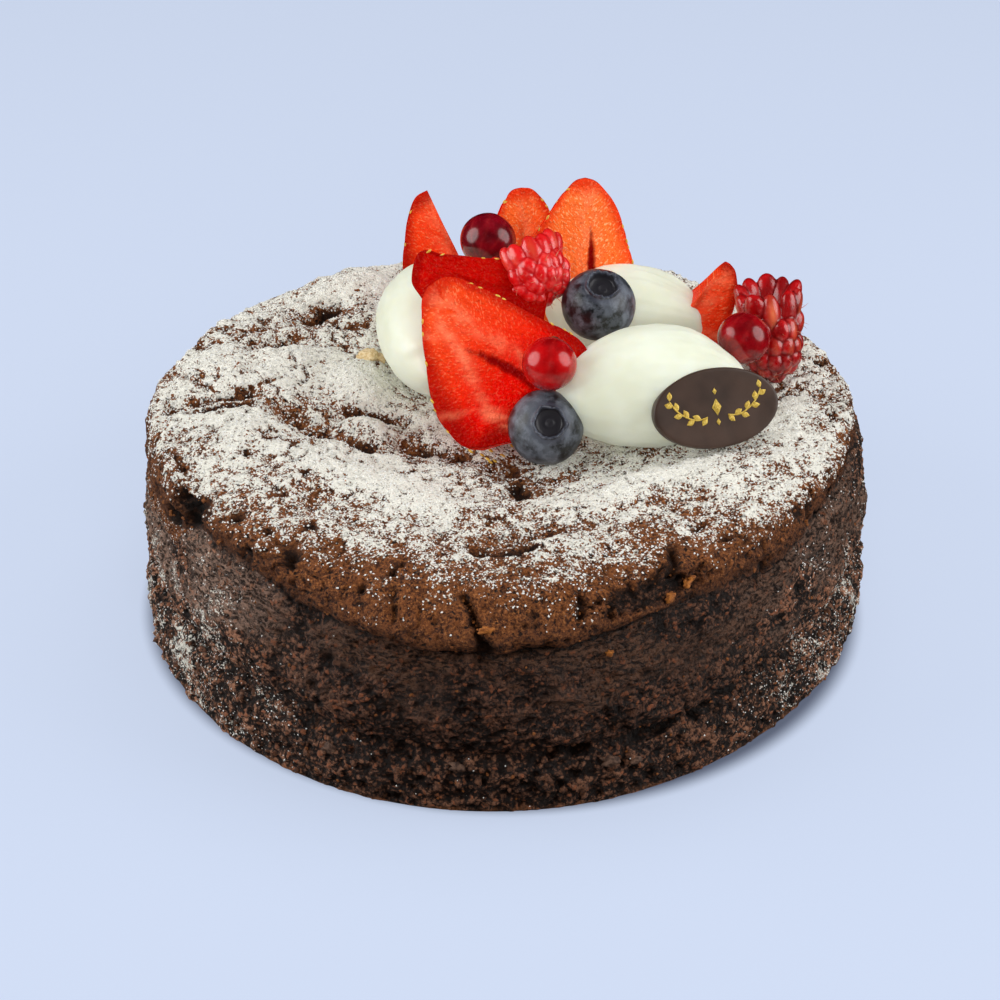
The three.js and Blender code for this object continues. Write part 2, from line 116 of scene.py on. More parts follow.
def layered(points, reach, layers, seed):  # each layer half the size of the one before
    return sum(0.5 ** one * noise(points, reach * 0.5 ** one, seed + one) for one in range(layers))


def noiseVectors(points, reach, seed, axes=3):
    return np.stack([noise(points, reach, seed + axis) for axis in range(axes)], 1)


def dots(points, reach, seed):  # how far the nearest of scattered dots is, and that dot's own number
    place = points / reach
    cell = np.floor(place)
    best = np.full(len(points), 9.0)
    own = np.zeros(len(points))
    for shift in np.ndindex(3, 3, 3):
        near = cell + np.array(shift) - 1
        away = np.linalg.norm(place - near - hashedVector(near, seed), axis=1)
        closer = away < best
        own = np.where(closer, hashed(near, seed + 7), own)
        best = np.where(closer, away, best)
    return best * reach, own


def awayFromPath(points, path):  # the distance to a line of straight stretches
    best = np.full(len(points), 1e9)
    for start, end in zip(path, path[1:]):
        start = np.array(start, float)
        leg = np.array(end, float) - start
        share = np.clip((points - start) @ leg / (leg @ leg), 0, 1)
        best = np.minimum(best, np.linalg.norm(points - start - share[:, None] * leg, axis=1))
    return best


def splineAlong(section, at):
    # section: a row of points for each place; at: how far along its row each place lies
    last = section.shape[1] - 1
    start = np.clip(np.floor(at).astype(int), 0, last - 1)
    part = (at - start)[:, None]
    row = np.arange(len(at))
    before, a, b, after = (section[row, np.clip(start + step, 0, last)] for step in (-1, 0, 1, 2))
    legs = [a - before, b - a, after - b]
    long = [np.linalg.norm(leg[:, :2], axis=1)[:, None] + 1e-9 for leg in legs]
    slopeA, slopeB = (
        long[1] * (legs[i] / long[i] * long[j] + legs[j] / long[j] * long[i]) / (long[i] + long[j])
        for i, j in ((0, 1), (1, 2))
    )
    return (
        (2 * part ** 3 - 3 * part ** 2 + 1) * a
        + (part ** 3 - 2 * part ** 2 + part) * slopeA
        + (3 * part ** 2 - 2 * part ** 3) * b
        + (part ** 3 - part ** 2) * slopeB
    )


def runOf(line):  # the length of a line up to each of its points
    return np.concatenate([[0], np.cumsum(np.linalg.norm(np.diff(line, axis=0), axis=1))])


def curveThrough(points, shares):  # a smooth line through points of a plane, at shares of its length
    points = np.array(points, float)
    fine = np.linspace(0, len(points) - 1, 40 * len(points))
    line = splineAlong(np.repeat(points[None], len(fine), 0), fine)
    run = runOf(line)
    want = np.asarray(shares) * run[-1]
    return np.stack([np.interp(want, run, line[:, axis]) for axis in (0, 1)], 1)


# meshes
def turnsOf(count):  # evenly spaced angles round a ring
    return np.arange(count) * turnRound / count


def ringOf(turn, wide, high):
    return np.stack([wide * np.cos(turn), wide * np.sin(turn), high + 0 * turn], 1)


def ringFaces(rows, columns, first=0, outward=1):  # quads between closed rings of points
    row, column = np.meshgrid(np.arange(rows - 1), np.arange(columns), indexing="ij")
    here = first + row * columns + column
    beside = first + row * columns + (column + 1) % columns
    quads = np.stack([here, beside, beside + columns, here + columns], -1).reshape(-1, 4)
    return (quads if outward > 0 else quads[:, ::-1]).tolist()


def fanFaces(pole, first, columns, outward=1):  # triangles from a pole to a ring
    column = np.arange(columns)
    fan = np.stack([np.full(columns, pole), first + (column + 1) % columns, first + column], -1)
    return (fan if outward > 0 else fan[:, ::-1]).tolist()


def loft(rows, outward=1):  # rings of points, the first and last of them shrunk to a pole
    rows = np.asarray(rows, float)
    count, columns = rows.shape[:2]
    inner = rows[1:-1].reshape(-1, 3)
    points = np.concatenate([inner, rows[0].mean(0)[None], rows[-1].mean(0)[None]])
    faces = ringFaces(count - 2, columns, 0, outward)
    faces += fanFaces(len(inner), 0, columns, outward)
    faces += fanFaces(len(inner) + 1, (count - 3) * columns, columns, -outward)
    return points, faces


def loftMark(values):  # the same order of points as loft, for a number on each
    values = np.asarray(values, float)
    return np.concatenate([values[1:-1].reshape(-1), [values[0].mean()], [values[-1].mean()]])


def meshOf(name, points, faces, material=None, marks=None):
    mesh = bpy.data.meshes.new(name)
    mesh.from_pydata((np.asarray(points) * mm).tolist(), [], faces)
    for label, values in (marks or {}).items():
        values = np.asarray(values, np.float32)
        kind = "FLOAT" if values.ndim == 1 else "FLOAT_VECTOR"
        mark = mesh.attributes.new(label, kind, "POINT")
        mark.data.foreach_set("value" if values.ndim == 1 else "vector", values.ravel())
    if material:
        mesh.materials.append(material)
    if mesh.polygons:
        mesh.polygons.foreach_set("use_smooth", [True] * len(mesh.polygons))
    mesh.update()
    return mesh


def readMesh(mesh, scale=1.0):
    points = np.zeros(3 * len(mesh.vertices), np.float32)
    mesh.vertices.foreach_get("co", points)
    return points.reshape(-1, 3).astype(float) * scale, [list(face.vertices) for face in mesh.polygons]


def objectOf(name, mesh):
    piece = bpy.data.objects.new(name, mesh)
    bpy.context.scene.collection.objects.link(piece)
    return piece


def evaluated(piece):  # a plain mesh of a piece with its modifiers
    bpy.context.view_layer.update()
    depsgraph = bpy.context.evaluated_depsgraph_get()
    return bpy.data.meshes.new_from_object(piece.evaluated_get(depsgraph))


def joined(parts):  # one list of points and one of faces
    points, faces, count = [], [], 0
    for partPoints, partFaces in parts:
        points.append(partPoints)
        faces += [[corner + count for corner in face] for face in partFaces]
        count += len(partPoints)
    return np.concatenate(points), faces


def normalsOf(points, faces):
    mesh = meshOf("normals", points, faces)
    found = np.zeros(3 * len(mesh.vertices), np.float32)
    mesh.vertices.foreach_get("normal", found)
    bpy.data.meshes.remove(mesh)
    return found.reshape(-1, 3).astype(float)


def settle(piece, slot, *nodes):
    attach(piece, "root")
    if nodes:
        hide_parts(*nodes)
    print(piece.name, len(piece.data.polygons), "faces")


def settleMesh(name, slot, shape, material, marks, *nodes):  # shape: points and faces
    settle(objectOf(name, meshOf(name, *shape, material, marks)), slot, *nodes)


def basisAlong(alongZ, towardY):  # columns x, y and z of a place whose Z runs along one direction
    z = unit(alongZ)
    x = unit(np.cross(towardY, z))
    return np.stack([x, np.cross(z, x), z], 1)


# graphs of nodes, for finishes and for Geometry Nodes
def operation(kind, turned=False):
    def made(self, other):
        first, second = (other, self) if turned else (self, other)
        return self.sum(kind, first, second)

    return made


class Wire:  # a socket that sums can be written with
    def __init__(self, graph, socket):
        self.graph = graph
        self.socket = socket

    def also(self, label):  # another output of the same node
        return Wire(self.graph, self.socket.node.outputs[label])

    def sum(self, kind, first, second):
        return self.graph.node("ShaderNodeMath", {"operation": kind}, {0: first, 1: second})

    __add__ = __radd__ = operation("ADD")
    __sub__, __rsub__ = operation("SUBTRACT"), operation("SUBTRACT", True)
    __mul__ = __rmul__ = operation("MULTIPLY")
    __mod__, over = operation("MODULO"), operation("GREATER_THAN")

    def __abs__(self):
        return self.sum("ABSOLUTE", self, 0)

    def held(self):
        return self.graph.node("ShaderNodeClamp", {}, {"Value": self})

    def eased(self, low, high):  # 0 below low, 1 above high
        sockets = {"Value": self, "From Min": low, "From Max": high}
        return self.graph.node("ShaderNodeMapRange", {"interpolation_type": "SMOOTHSTEP"}, sockets)


class Graph:
    def __init__(self, tree):
        self.tree = tree

    def plug(self, socket, value):
        if isinstance(value, Wire):
            self.tree.links.new(value.socket, socket)
        else:
            socket.default_value = value

    def node(self, kind, settings=None, sockets=None, out=0):
        made = self.tree.nodes.new(kind)
        for label, value in (settings or {}).items():
            setattr(made, label, value)
        for label, value in (sockets or {}).items():
            self.plug(made.inputs[label], value)
        return Wire(self, made.outputs[out])

    def vector(self, kind, first, second):
        sockets = {0: first, ("Scale" if kind == "SCALE" else 1): second}
        return self.node("ShaderNodeVectorMath", {"operation": kind}, sockets)


def ink(red, green, blue):  # a colour as a screen shows it, from 0 to 255
    def linear(value):
        value = value / 255
        return value / 12.92 if value <= 0.04045 else ((value + 0.055) / 1.055) ** 2.4

    return (linear(red), linear(green), linear(blue), 1.0)


def inkBetween(first, second, share):
    return tuple(mix(np.array(ink(*first)), np.array(ink(*second)), share))


class Finish(Graph):
    def __init__(self, name, fixed):
        self.material = bpy.data.materials.new(name)
        self.material.use_nodes = True
        super().__init__(self.material.node_tree)
        self.tree.nodes.clear()
        self.shader = self.tree.nodes.new("ShaderNodeBsdfPrincipled")
        surface = self.tree.nodes.new("ShaderNodeOutputMaterial")
        self.tree.links.new(self.shader.outputs[0], surface.inputs[0])
        for label, value in fixed.items():
            self.shader.inputs[label].default_value = value
        self.place = self.node("ShaderNodeTexCoord", out="Object")

    def mark(self, label, out="Fac"):
        return self.node("ShaderNodeAttribute", {"attribute_name": label}, out=out)

    def noise(self, reach, detail=2, seed=0, place=None, rough=0.55, out=0):
        sockets = {"Vector": place or self.place, "W": seed, "Scale": 1 / (reach * mm)}
        sockets.update({"Detail": detail, "Roughness": rough})
        return self.node("ShaderNodeTexNoise", {"noise_dimensions": "4D"}, sockets, out)

    def bent(self, reach, amount, seed):  # the place, moved about a little
        moved = self.vector("SUBTRACT", self.noise(reach, 1, seed, rough=0.5, out="Color"), (0.5, 0.5, 0.5))
        return self.vector("ADD", self.place, self.vector("SCALE", moved, amount * mm))

    def cells(self, reach, place):  # how far the nearest dot is, in reaches, and its own number
        away = self.node("ShaderNodeTexVoronoi", {}, {"Vector": place, "Scale": 1 / (reach * mm)})
        return away, self.node("ShaderNodeSeparateColor", {}, {"Color": away.also("Color")})

    def blend(self, share, first, second):
        settings = {"data_type": "RGBA", "clamp_factor": True}
        return self.node("ShaderNodeMix", settings, {0: share, 6: first, 7: second}, out=2)

    def cover(self, colour, *layers):  # each layer: where it lies, and its colour
        for share, layer in layers:
            colour = self.blend(share, colour, layer)
        return colour

    def wear(self, colour, roughness, height, deep, strength=1.0, glow=None):
        for label, value in (("Base Color", colour), ("Roughness", roughness), ("Emission Color", glow)):
            if value is not None:
                self.plug(self.shader.inputs[label], value)
        sockets = {"Height": height, "Distance": deep * mm, "Strength": strength}
        self.plug(self.shader.inputs["Normal"], self.node("ShaderNodeBump", {}, sockets))
        return self.material


def treeOf(name, inputs):  # a Geometry Nodes tree with named inputs, and wires from them
    tree = bpy.data.node_groups.new(name, "GeometryNodeTree")
    geometry = "NodeSocketGeometry"
    tree.interface.new_socket("Geometry", in_out="INPUT", socket_type=geometry)
    for label, kind in inputs.items():
        tree.interface.new_socket(label, in_out="INPUT", socket_type="NodeSocket" + kind)
    tree.interface.new_socket("Geometry", in_out="OUTPUT", socket_type=geometry)
    graph = Graph(tree)
    entry = tree.nodes.new("NodeGroupInput")
    wires = {label: Wire(graph, entry.outputs[label]) for label in ["Geometry", *inputs]}
    return graph, wires


def closeTree(graph, instances, material):  # every tree ends in plain geometry with its finish
    shape = graph.node("GeometryNodeInstanceOnPoints", {}, instances)
    real = graph.node("GeometryNodeRealizeInstances", {}, {"Geometry": shape})
    done = graph.node("GeometryNodeSetMaterial", {}, {"Geometry": real, "Material": material})
    result = graph.tree.nodes.new("NodeGroupOutput")
    graph.tree.links.new(done.socket, result.inputs["Geometry"])
    return graph.tree


def makeStrewTree():
    # strews grains of a collection over faces, as thick as the mark "strew" says
    kinds = {"Grains": "Collection", "Density": "Float", "Seed": "Int", "Smallest": "Float"}
    kinds.update({"Largest": "Float", "Sink": "Float", "Material": "Material"})
    graph, wires = treeOf("strew", kinds)
    seed = wires["Seed"]
    mark = graph.node("GeometryNodeInputNamedAttribute", {"data_type": "FLOAT"}, {"Name": "strew"})
    sockets = {"Mesh": wires["Geometry"], "Density": mark * wires["Density"], "Seed": seed}
    points = graph.node("GeometryNodeDistributePointsOnFaces", {}, sockets)
    sunk = graph.vector("SCALE", points.also("Normal"), wires["Sink"] * -1)
    moved = graph.node("GeometryNodeSetPosition", {}, {"Geometry": points, "Offset": sunk})
    sockets = {"Collection": wires["Grains"], "Separate Children": True, "Reset Children": True}
    grains = graph.node("GeometryNodeCollectionInfo", {}, sockets)
    random = "FunctionNodeRandomValue"
    sockets = {0: (0, 0, 0), 1: (turnRound, turnRound, turnRound), "Seed": seed + 1}
    turn = graph.node(random, {"data_type": "FLOAT_VECTOR"}, sockets)
    sockets = {2: wires["Smallest"], 3: wires["Largest"], "Seed": seed + 2}
    size = graph.node(random, {"data_type": "FLOAT"}, sockets, out=1)
    sockets = {"Points": moved, "Instance": grains, "Pick Instance": True, "Rotation": turn, "Scale": size}
    return closeTree(graph, sockets, wires["Material"])


def makeSetTree():
    # sets one shape on every point, its Z along "aim", its X towards "side", as large as "size"
    graph, wires = treeOf("set", {"Shape": "Object", "Scale": "Float", "Material": "Material"})
    vector = {"data_type": "FLOAT_VECTOR"}
    kind = "GeometryNodeInputNamedAttribute"
    aim, side, size = (graph.node(kind, vector, {"Name": label}) for label in ("aim", "side", "size"))
    align = "FunctionNodeAlignRotationToVector"
    turn = graph.node(align, {"axis": "Z"}, {"Vector": aim})
    turn = graph.node(align, {"axis": "X", "pivot_axis": "Z"}, {"Rotation": turn, "Vector": side})
    shape = graph.node("GeometryNodeObjectInfo", {}, {"Object": wires["Shape"]}, out="Geometry")
    sockets = {"Points": wires["Geometry"], "Instance": shape, "Rotation": turn}
    sockets["Scale"] = graph.vector("SCALE", size, wires["Scale"])
    return closeTree(graph, sockets, wires["Material"])


strewTree = makeStrewTree()
setTree = makeSetTree()


def grown(name, base, tree, values):  # a plain mesh from a base mesh and a tree
    piece = objectOf(name, base)
    modifier = piece.modifiers.new("nodes", "NODES")
    modifier.node_group = tree
    for item in tree.interface.items_tree:
        if item.item_type == "SOCKET" and item.in_out == "INPUT" and item.name in values:
            modifier[item.identifier] = values[item.name]
    mesh = evaluated(piece)
    piece.modifiers.remove(modifier)
    piece.data = mesh
    mesh.name = name
    return piece


def setShapes(name, shape, places, aims, sides, sizes, material):
    base = meshOf(name, places, [], None, {"aim": aims, "side": sides, "size": sizes})
    return grown(name, base, setTree, {"Shape": shape, "Scale": 1.0, "Material": material})


def unitShape(name, rows):  # a shape that setShapes makes as large as its sizes say
    points, faces = loft(rows)
    return objectOf(name, meshOf(name, points / mm, faces))


def grainShape(name, radius, steps, rough, seed):  # an uneven little lump
    mesh = bpy.data.meshes.new(name)
    lump = bmesh.new()
    bmesh.ops.create_icosphere(lump, subdivisions=steps, radius=1)
    lump.to_mesh(mesh)
    lump.free()
    points = np.array([corner.co for corner in mesh.vertices], float)
    points *= 1 + rough * noise(points, 0.8, seed)[:, None]
    points *= np.random.default_rng(seed).uniform(0.75, 1.15, 3) * radius * mm
    mesh.vertices.foreach_set("co", points.astype(np.float32).ravel())
    mesh.polygons.foreach_set("use_smooth", [steps > 1] * len(mesh.polygons))
    mesh.update()
    return mesh


def sugarShape(name, radius, seed):  # few faces: an uneven octahedron
    draw = np.random.default_rng(seed)
    corners = np.array([[1, 0, 0], [0, 1, 0], [-1, 0, 0], [0, -1, 0], [0, 0, 1], [0, 0, -1]], float)
    corners = corners * draw.uniform(0.7, 1.25, (6, 1)) + draw.uniform(-0.2, 0.2, (6, 3))
    above = [[one, (one + 1) % 4, 4] for one in range(4)]
    below = [[(one + 1) % 4, one, 5] for one in range(4)]
    return meshOf(name, corners * radius, above + below)


def grainBox(kind, make):  # a collection that strewTree picks from
    box = bpy.data.collections.new(kind + "Shapes")
    bpy.context.scene.collection.children.link(box)
    count, radius, *more, seed = grainSizes[kind]
    for one in range(count):
        name = "%s%d" % (kind, one)
        box.objects.link(bpy.data.objects.new(name, make(name, radius, *more, seed + one)))
    return box


def clearAway(*boxes):
    for box in boxes:
        if isinstance(box, bpy.types.Collection):
            for piece in list(box.objects):
                bpy.data.objects.remove(piece)
            bpy.data.collections.remove(box)
        else:
            bpy.data.objects.remove(box)


# the cake
cakeSizes = {
    "radius": 75,
    "baseRadius": 75,
    "creaseHeight": 13.4,
    "creaseRise": 3,
    "creaseDepth": 1.3,
    "footSwell": 1.3,
    "wallTaper": 0.9,
    "lipHeight": 36.6,
    "lipRise": 2.6,
    "lipIn": 2.6,
    "lipOut": 0.2,
    "undercut": 2.4,
    "underLip": 2.0,
    "rimHeight": 47.8,
    "rimRadius": 62,
    "basinHeight": 42.4,
    "basinRadius": 20,
    "wallRelief": 0.55,
    "crustRelief": 0.8,
    "outlineWaves": [(2, 0.09, 1.14), (3, 0.39, 1.49)],  # turns, cosine and sine
    # mounds of the crust: x, y, rise, reach along and across, turn
    "mounds": [
        (-45, 17, 2.6, 9, 7, 30), (-30, 12, 3.6, 8, 6.5, 80), (-30, -2, 2.2, 4, 3.6, 0),
        (-35, -24, 2.4, 12, 7, -35), (-17, -35, 2.6, 11, 7, -20), (29, -31, 2.8, 14, 6, 22),
        (-54, -14, 1.6, 9, 6, 100), (8, -58, 1.3, 13, 6, 5), (56, -8, 1.4, 12, 6, 80),
        (-30, 50, 1.8, 11, 6, 150), (24, 56, 1.6, 12, 6, 20), (50, 36, 1.5, 9, 6, 125),
    ],
    # hollows of the crust: from, to, depth and half width
    "cracks": [
        ((-69, -1), (-53, 4), 2.4, 2.6), ((-53, 22), (-45, 27), 2.2, 2.6), ((-43, 38), (-38, 43), 3, 3.4),
        ((-45, -2), (-27, -10), 2.8, 3.4), ((-34, 1), (-22, 3), 2.2, 3), ((-21, -7), (-9, -11), 2.6, 3.2),
        ((1, -18), (4, -28), 3, 4.4), ((-5, -56), (9, -48), 2, 2.8), ((8, 50), (4, 62), 2.2, 3),
        ((40, 44), (50, 50), 2, 3),
    ],
}

cakeDetail = {
    "wallSides": 920,
    "wallStep": 0.43,
    "crustRings": 122,
    "crustStep": 0.46,
    # rings are counted along the section, from the base's middle up and round to the top's middle
    "wallRings": (2, 13.4),
    "bandRings": (12.4, 17.2),
    "discRings": (17.2, 31),
    "seamRing": 13.0,  # where crust and wall meet
    "wallCore": (60, 34.0),  # radius and height of the hidden end of the wall, inside the cake
    "crustCore": (64, 33.0),
    "margin": 0.3,  # the finest relief goes inwards from the solid by this much
    "frontSide": -88,  # where the photographed front lies, in degrees
    # how thick the sugar lies on a ring, beside and at the front
    "sugarRings": [14, 15.6, 16.6, 17.4, 18, 19, 20, 21, 22.5, 31],
    "sugarAside": [0.12, 0.27, 0.45, 0.61, 0.73, 0.83, 0.86, 0.84, 0.8, 0.95],
    "sugarAhead": [0, 0.01, 0.04, 0.11, 0.21, 0.37, 0.5, 0.6, 0.69, 0.87],
    # how far the edge of the crust lies above its plain height: degrees round the cake, rise
    "lipDrift": [(-180, -1), (-166, -3), (-152, -1.5), (-142, 4), (-130, 3.9), (-121, 1.6), (-105, 1.6),
                 (-96, 0.5), (-89, 0.5), (-82, 2.1), (-75, 2.4), (-64, 3.2), (-60, 2.6), (-56, 1), (-50, 0),
                 (-44, -0.8), (-38, -0.5), (-33, 1.1), (-28, 2.9), (-22, 5.2), (-12, 4.6), (0, 3), (30, 1),
                 (60, 0), (150, 0), (180, -1)],
    "crustDrop": (-171, 26, 5.5),  # where the crust hangs over the wall: middle, half width, drop
    # fine splits of the crust: a path, depth, half width
    "splits": [
        ([(-7.2, -70.4, 46.6), (-6.4, -72.6, 45.5), (-5.2, -75, 43.6), (-4.3, -76.8, 41.6),
          (-3, -77.8, 39.6), (-2.6, -76.5, 37.4)], 2.4, 0.75),
        ([(-20.6, -68.9, 46.4), (-20.3, -71.6, 44.6), (-20.3, -73.7, 42.8)], 1.1, 0.6),
        ([(-21.3, -65.6, 47.6), (-20.1, -63.4, 48.2), (-19.1, -61.8, 48.4)], 1.8, 0.75),
        ([(-4.6, -56.5, 46.4), (0, -59, 48), (3.2, -59.5, 48.8), (6.4, -57.2, 49.2)], 2.4, 0.95),
        ([(14.8, -69.7, 46.3), (14.9, -71.6, 45.2), (15, -73.2, 43.8)], 1.8, 0.65),
        ([(32.6, -55.1, 48), (32.9, -59.9, 47.3), (32, -62.2, 46.7)], 2.4, 0.85),
        ([(37.7, -48.9, 47.9), (38.7, -46.1, 47.9)], 1.8, 0.7),
        ([(42.5, -49.9, 46.8), (45, -48.6, 46.5), (47.3, -50.7, 46.4)], 1.4, 0.6),
        ([(28.5, -66, 47), (30, -61, 47.6)], 1.2, 0.6),
        ([(-68.8, -3.8, 46.2), (-63, -4.2, 47.2), (-57.7, -3, 47.8), (-53.2, -2.4, 48)], 1.8, 0.9),
        ([(45, 56, 45), (41, 50, 47)], 1.6, 0.8),
        ([(-8, 74, 42), (-6, 68, 46.5), (-9, 60, 47.5)], 1.7, 0.8),
        ([(70, 22, 43), (66, 20, 46.6), (60, 23, 47.5)], 1.6, 0.8),
        ([(-66, 34, 43), (-61, 32, 46.8)], 1.5, 0.8),
    ],
    # holes in the crust: where, depth, half width
    "holes": [
        ((-2.9, -77.3, 38.2), 3, 1.6), ((-61.7, -36.8, 43.3), 3.6, 2.3), ((-64.5, -33.1, 39.6), 2.8, 1.8),
        ((-59.6, -39, 46.5), 2.8, 1.7), ((-60.1, -40.3, 44.4), 2.4, 1.4),
        ((-62.7, -34.2, 45.4), 2.4, 1.5), ((-68.8, -24.6, 41), 2, 1.3), ((-40.1, -57.7, 46.6), 2.8, 1.5),
        ((-41, -59.6, 46), 2.2, 1.1), ((-49.7, -54.1, 44.6), 2.2, 1.4), ((-37.4, -49.2, 47.6), 1.6, 1.2),
        ((-52, -44.3, 46.6), 1.8, 1.2), ((-51.3, -23.3, 48.7), 1.2, 1), ((-39.4, -29.9, 48.6), 1.2, 1.2),
        ((-26.8, -67.7, 45.7), 1.6, 1), ((-45.2, -50.2, 47), 1.4, 1), ((64.5, -36.6, 44), 2, 1.3),
        ((60.2, -38.6, 46.6), 1.8, 1.3), ((20, 70, 46), 1.8, 1.4), ((-46, 58, 45), 1.7, 1.3),
    ],
    # places where the skin of the crust broke open: where, half length, half height, depth
    "open": [
        ((31.6, -65.4, 44.9), 15.5, 3.5, 1.7), ((-61.8, -37.4, 43.4), 5, 3.2, 1.4),
        ((59, -45.4, 44), 7, 2.2, 0.9), ((58, 45, 44), 8, 2.2, 1.1), ((-20, 71, 44), 7, 2.2, 1.1),
    ],
    # gaps along the low fold: from and to in degrees, depth
    "gaps": [(-113, -97, 0.9), (-84, -76, 1.9), (-71, -49, 2.5), (-24, -15, 1.8),
             (-150, -136, 0.8), (20, 33, 1.5), (70, 96, 1.3), (140, 158, 1.5)],
}


def outlineShare(angles):
    share = np.ones_like(angles)
    for turns, cosine, sine in cakeSizes["outlineWaves"]:
        share += (cosine * np.cos(turns * angles) + sine * np.sin(turns * angles)) / cakeSizes["radius"]
    return share


def unevenWaves(x, y, z, reach, seed):  # a few crossing waves, the same as the solid's
    total = 0
    for wave in range(5):
        turn = 2.39996 * (wave + seed)
        pace = (1 + 0.41 * wave) / reach
        along = x * math.cos(turn) + y * math.sin(turn) + z * math.sin(1.7 * turn + seed)
        total = total + np.sin(along * pace + 2.1 * seed + 1.3 * wave)
    return 1.7 * total / 5


def moundHeight(x, y):
    height = np.zeros_like(x)
    for atX, atY, rise, long, wide, turned in cakeSizes["mounds"]:
        turn = turned * deg
        along = ((x - atX) * math.cos(turn) + (y - atY) * math.sin(turn)) / long
        across = ((y - atY) * math.cos(turn) - (x - atX) * math.sin(turn)) / wide
        height += rise * np.exp(-(along ** 2 + across ** 2))
    return height


def crackDepth(x, y):
    depth = np.zeros_like(x)
    flat = np.stack([x, y], 1)
    for start, end, deep, wide in cakeSizes["cracks"]:
        depth += deep * bell(awayFromPath(flat, [start, end]), wide)
    return depth


def topRelief(x, y):
    return cakeSizes["crustRelief"] * unevenWaves(x, y, 0, 7, 2) + moundHeight(x, y) - crackDepth(x, y)


def overhang(angles):
    atFront = 1 - smooth(13, 38, degreesApart(angles, -90 * deg))
    atBack = 0.6 * (1 - smooth(20, 60, degreesApart(angles, 70 * deg)))
    return np.maximum(atFront, atBack)


def creaseAt(angles):
    aside = smooth(20, 60, degreesApart(angles, -90 * deg))
    return cakeSizes["creaseHeight"] + cakeSizes["creaseRise"] * aside + 0.7 * np.sin(5 * angles)


def lipAt(angles):
    level = 1 - overhang(angles)
    return cakeSizes["lipHeight"] + (cakeSizes["lipRise"] + 0.7 * np.sin(7 * angles + 1)) * level


def driftAt(angles):
    turned = np.degrees(np.arctan2(np.sin(angles), np.cos(angles)))
    places, rises = zip(*cakeDetail["lipDrift"])
    return np.interp(turned, places, rises) + 0.35 * np.sin(19 * angles) + 0.25 * np.sin(37 * angles + 1)


def hangingAt(angles):
    middle, half, drop = cakeDetail["crustDrop"]
    return 1 - smooth(0.55 * half, half, degreesApart(angles, middle * deg))


def basin(radius):
    share = smooth(cakeSizes["basinRadius"], cakeSizes["rimRadius"] - 4, radius)
    return mix(cakeSizes["basinHeight"], cakeSizes["rimHeight"], share)


def cakeSection(angles):  # radius, height and share of the top's relief at each ring
    sizes = cakeSizes
    over = overhang(angles)
    crease = creaseAt(angles)
    hanging = hangingAt(angles)
    lip = lipAt(angles) + driftAt(angles)
    rim, wall, taper = sizes["rimHeight"], sizes["radius"], sizes["wallTaper"]
    room = (rim - 1 - lip) / (rim - 1 - lipAt(angles))
    edge = mix(wall + mix(-sizes["lipIn"], sizes["lipOut"], over), wall + 0.1, hanging)
    under = mix(wall - mix(sizes["underLip"], sizes["undercut"], over), wall - 0.5, hanging)
    foot = wall + sizes["footSwell"]
    points = [
        (0, 0, 0),
        (sizes["baseRadius"] * 0.6, 0, 0),
        (sizes["baseRadius"], 0, 0),
        (foot - 0.3, 0.9, 0),
        (foot, 3.6, 0),
        (foot, 7.2, 0),
        (wall + 0.5, crease - 2.2, 0),
        (wall - sizes["creaseDepth"], crease, 0),
        (wall - 0.3, crease + 1.7, 0),
        (wall + 0.7, crease + 5.4, 0),
        (wall + 0.4, mix(crease, lip, 0.55), 0),
        (wall - mix(0.4, taper, over), lip - 6.4, 0),
        (wall - mix(mix(taper, 1.7, over), 0.1, hanging), lip - 3, 0),
        (under, lip - 0.9, 0),
        (mix(under, edge, 0.55), lip - mix(-0.3, 0.9, over), 0),
        (edge, lip + mix(0.8, 0.2, over) * room, 0),
        (edge + mix(0.3, 0.7, over), lip + 2.4 * room, 0.1),
        (edge - mix(0.2, 0.6, over), lip + 5 * room, 0.3),
        (edge - mix(1.6, 3.2, over), lip + mix(7.4, 8, over) * room, 0.6),
        (69, rim - 0.9, 0.9),
        (66, rim - 0.3, 1),
    ]
    points += [(radius, basin(radius), 1) for radius in (61, 55.5, 50, 44.5, 39, 33.5, 28, 22, 15.5, 8.5)]
    points.append((0, sizes["basinHeight"], 1))
    zero = np.zeros_like(angles)
    return np.stack([np.stack([part + zero for part in point], -1) for point in points], 1)


def cakeSkin(angles, rings):
    radius, height, relief = splineAlong(cakeSection(angles), rings).T
    outer = np.maximum(radius, 0) * outlineShare(angles)
    x = outer * np.cos(angles)
    y = outer * np.sin(angles)
    onWall = smooth(0.5, 5, height) * (1 - relief) * smooth(60, 70, radius)
    swell = cakeSizes["wallRelief"] * onWall * unevenWaves(x, y, 1.6 * height, 6, 5)
    swell = 1 + swell / cakeSizes["radius"]
    return np.stack([x * swell, y * swell, height + relief * topRelief(x, y)], 1)


def ringsByLength(start, end, step):  # places along the section, a step apart at the front
    fine = np.linspace(start, end, 600)
    run = runOf(splineAlong(cakeSection(np.full(600, -90 * deg)), fine)[:, :2])
    count = int(round(run[-1] / step)) + 1
    return np.interp(np.linspace(0, run[-1], count), run, fine)


def openness(points):  # how far the skin is broken open at each point, and how deep
    share = np.zeros(len(points))
    deep = np.zeros(len(points))
    for centre, long, high, depth in cakeDetail["open"]:
        away = points - np.array(centre)
        side = unit(np.array([-centre[1], centre[0], 0]))
        along = away @ side
        across = np.linalg.norm(away - along[:, None] * side, axis=1)
        ragged = 0.35 * noise(points, 3.0, 41) + 0.2 * noise(points, 1.2, 42)
        inside = 1 - smooth(0.75, 1.1, np.sqrt((along / long) ** 2 + (across / high) ** 2) + ragged)
        share = np.maximum(share, inside)
        deep = np.maximum(deep, inside * depth)
    return share, deep


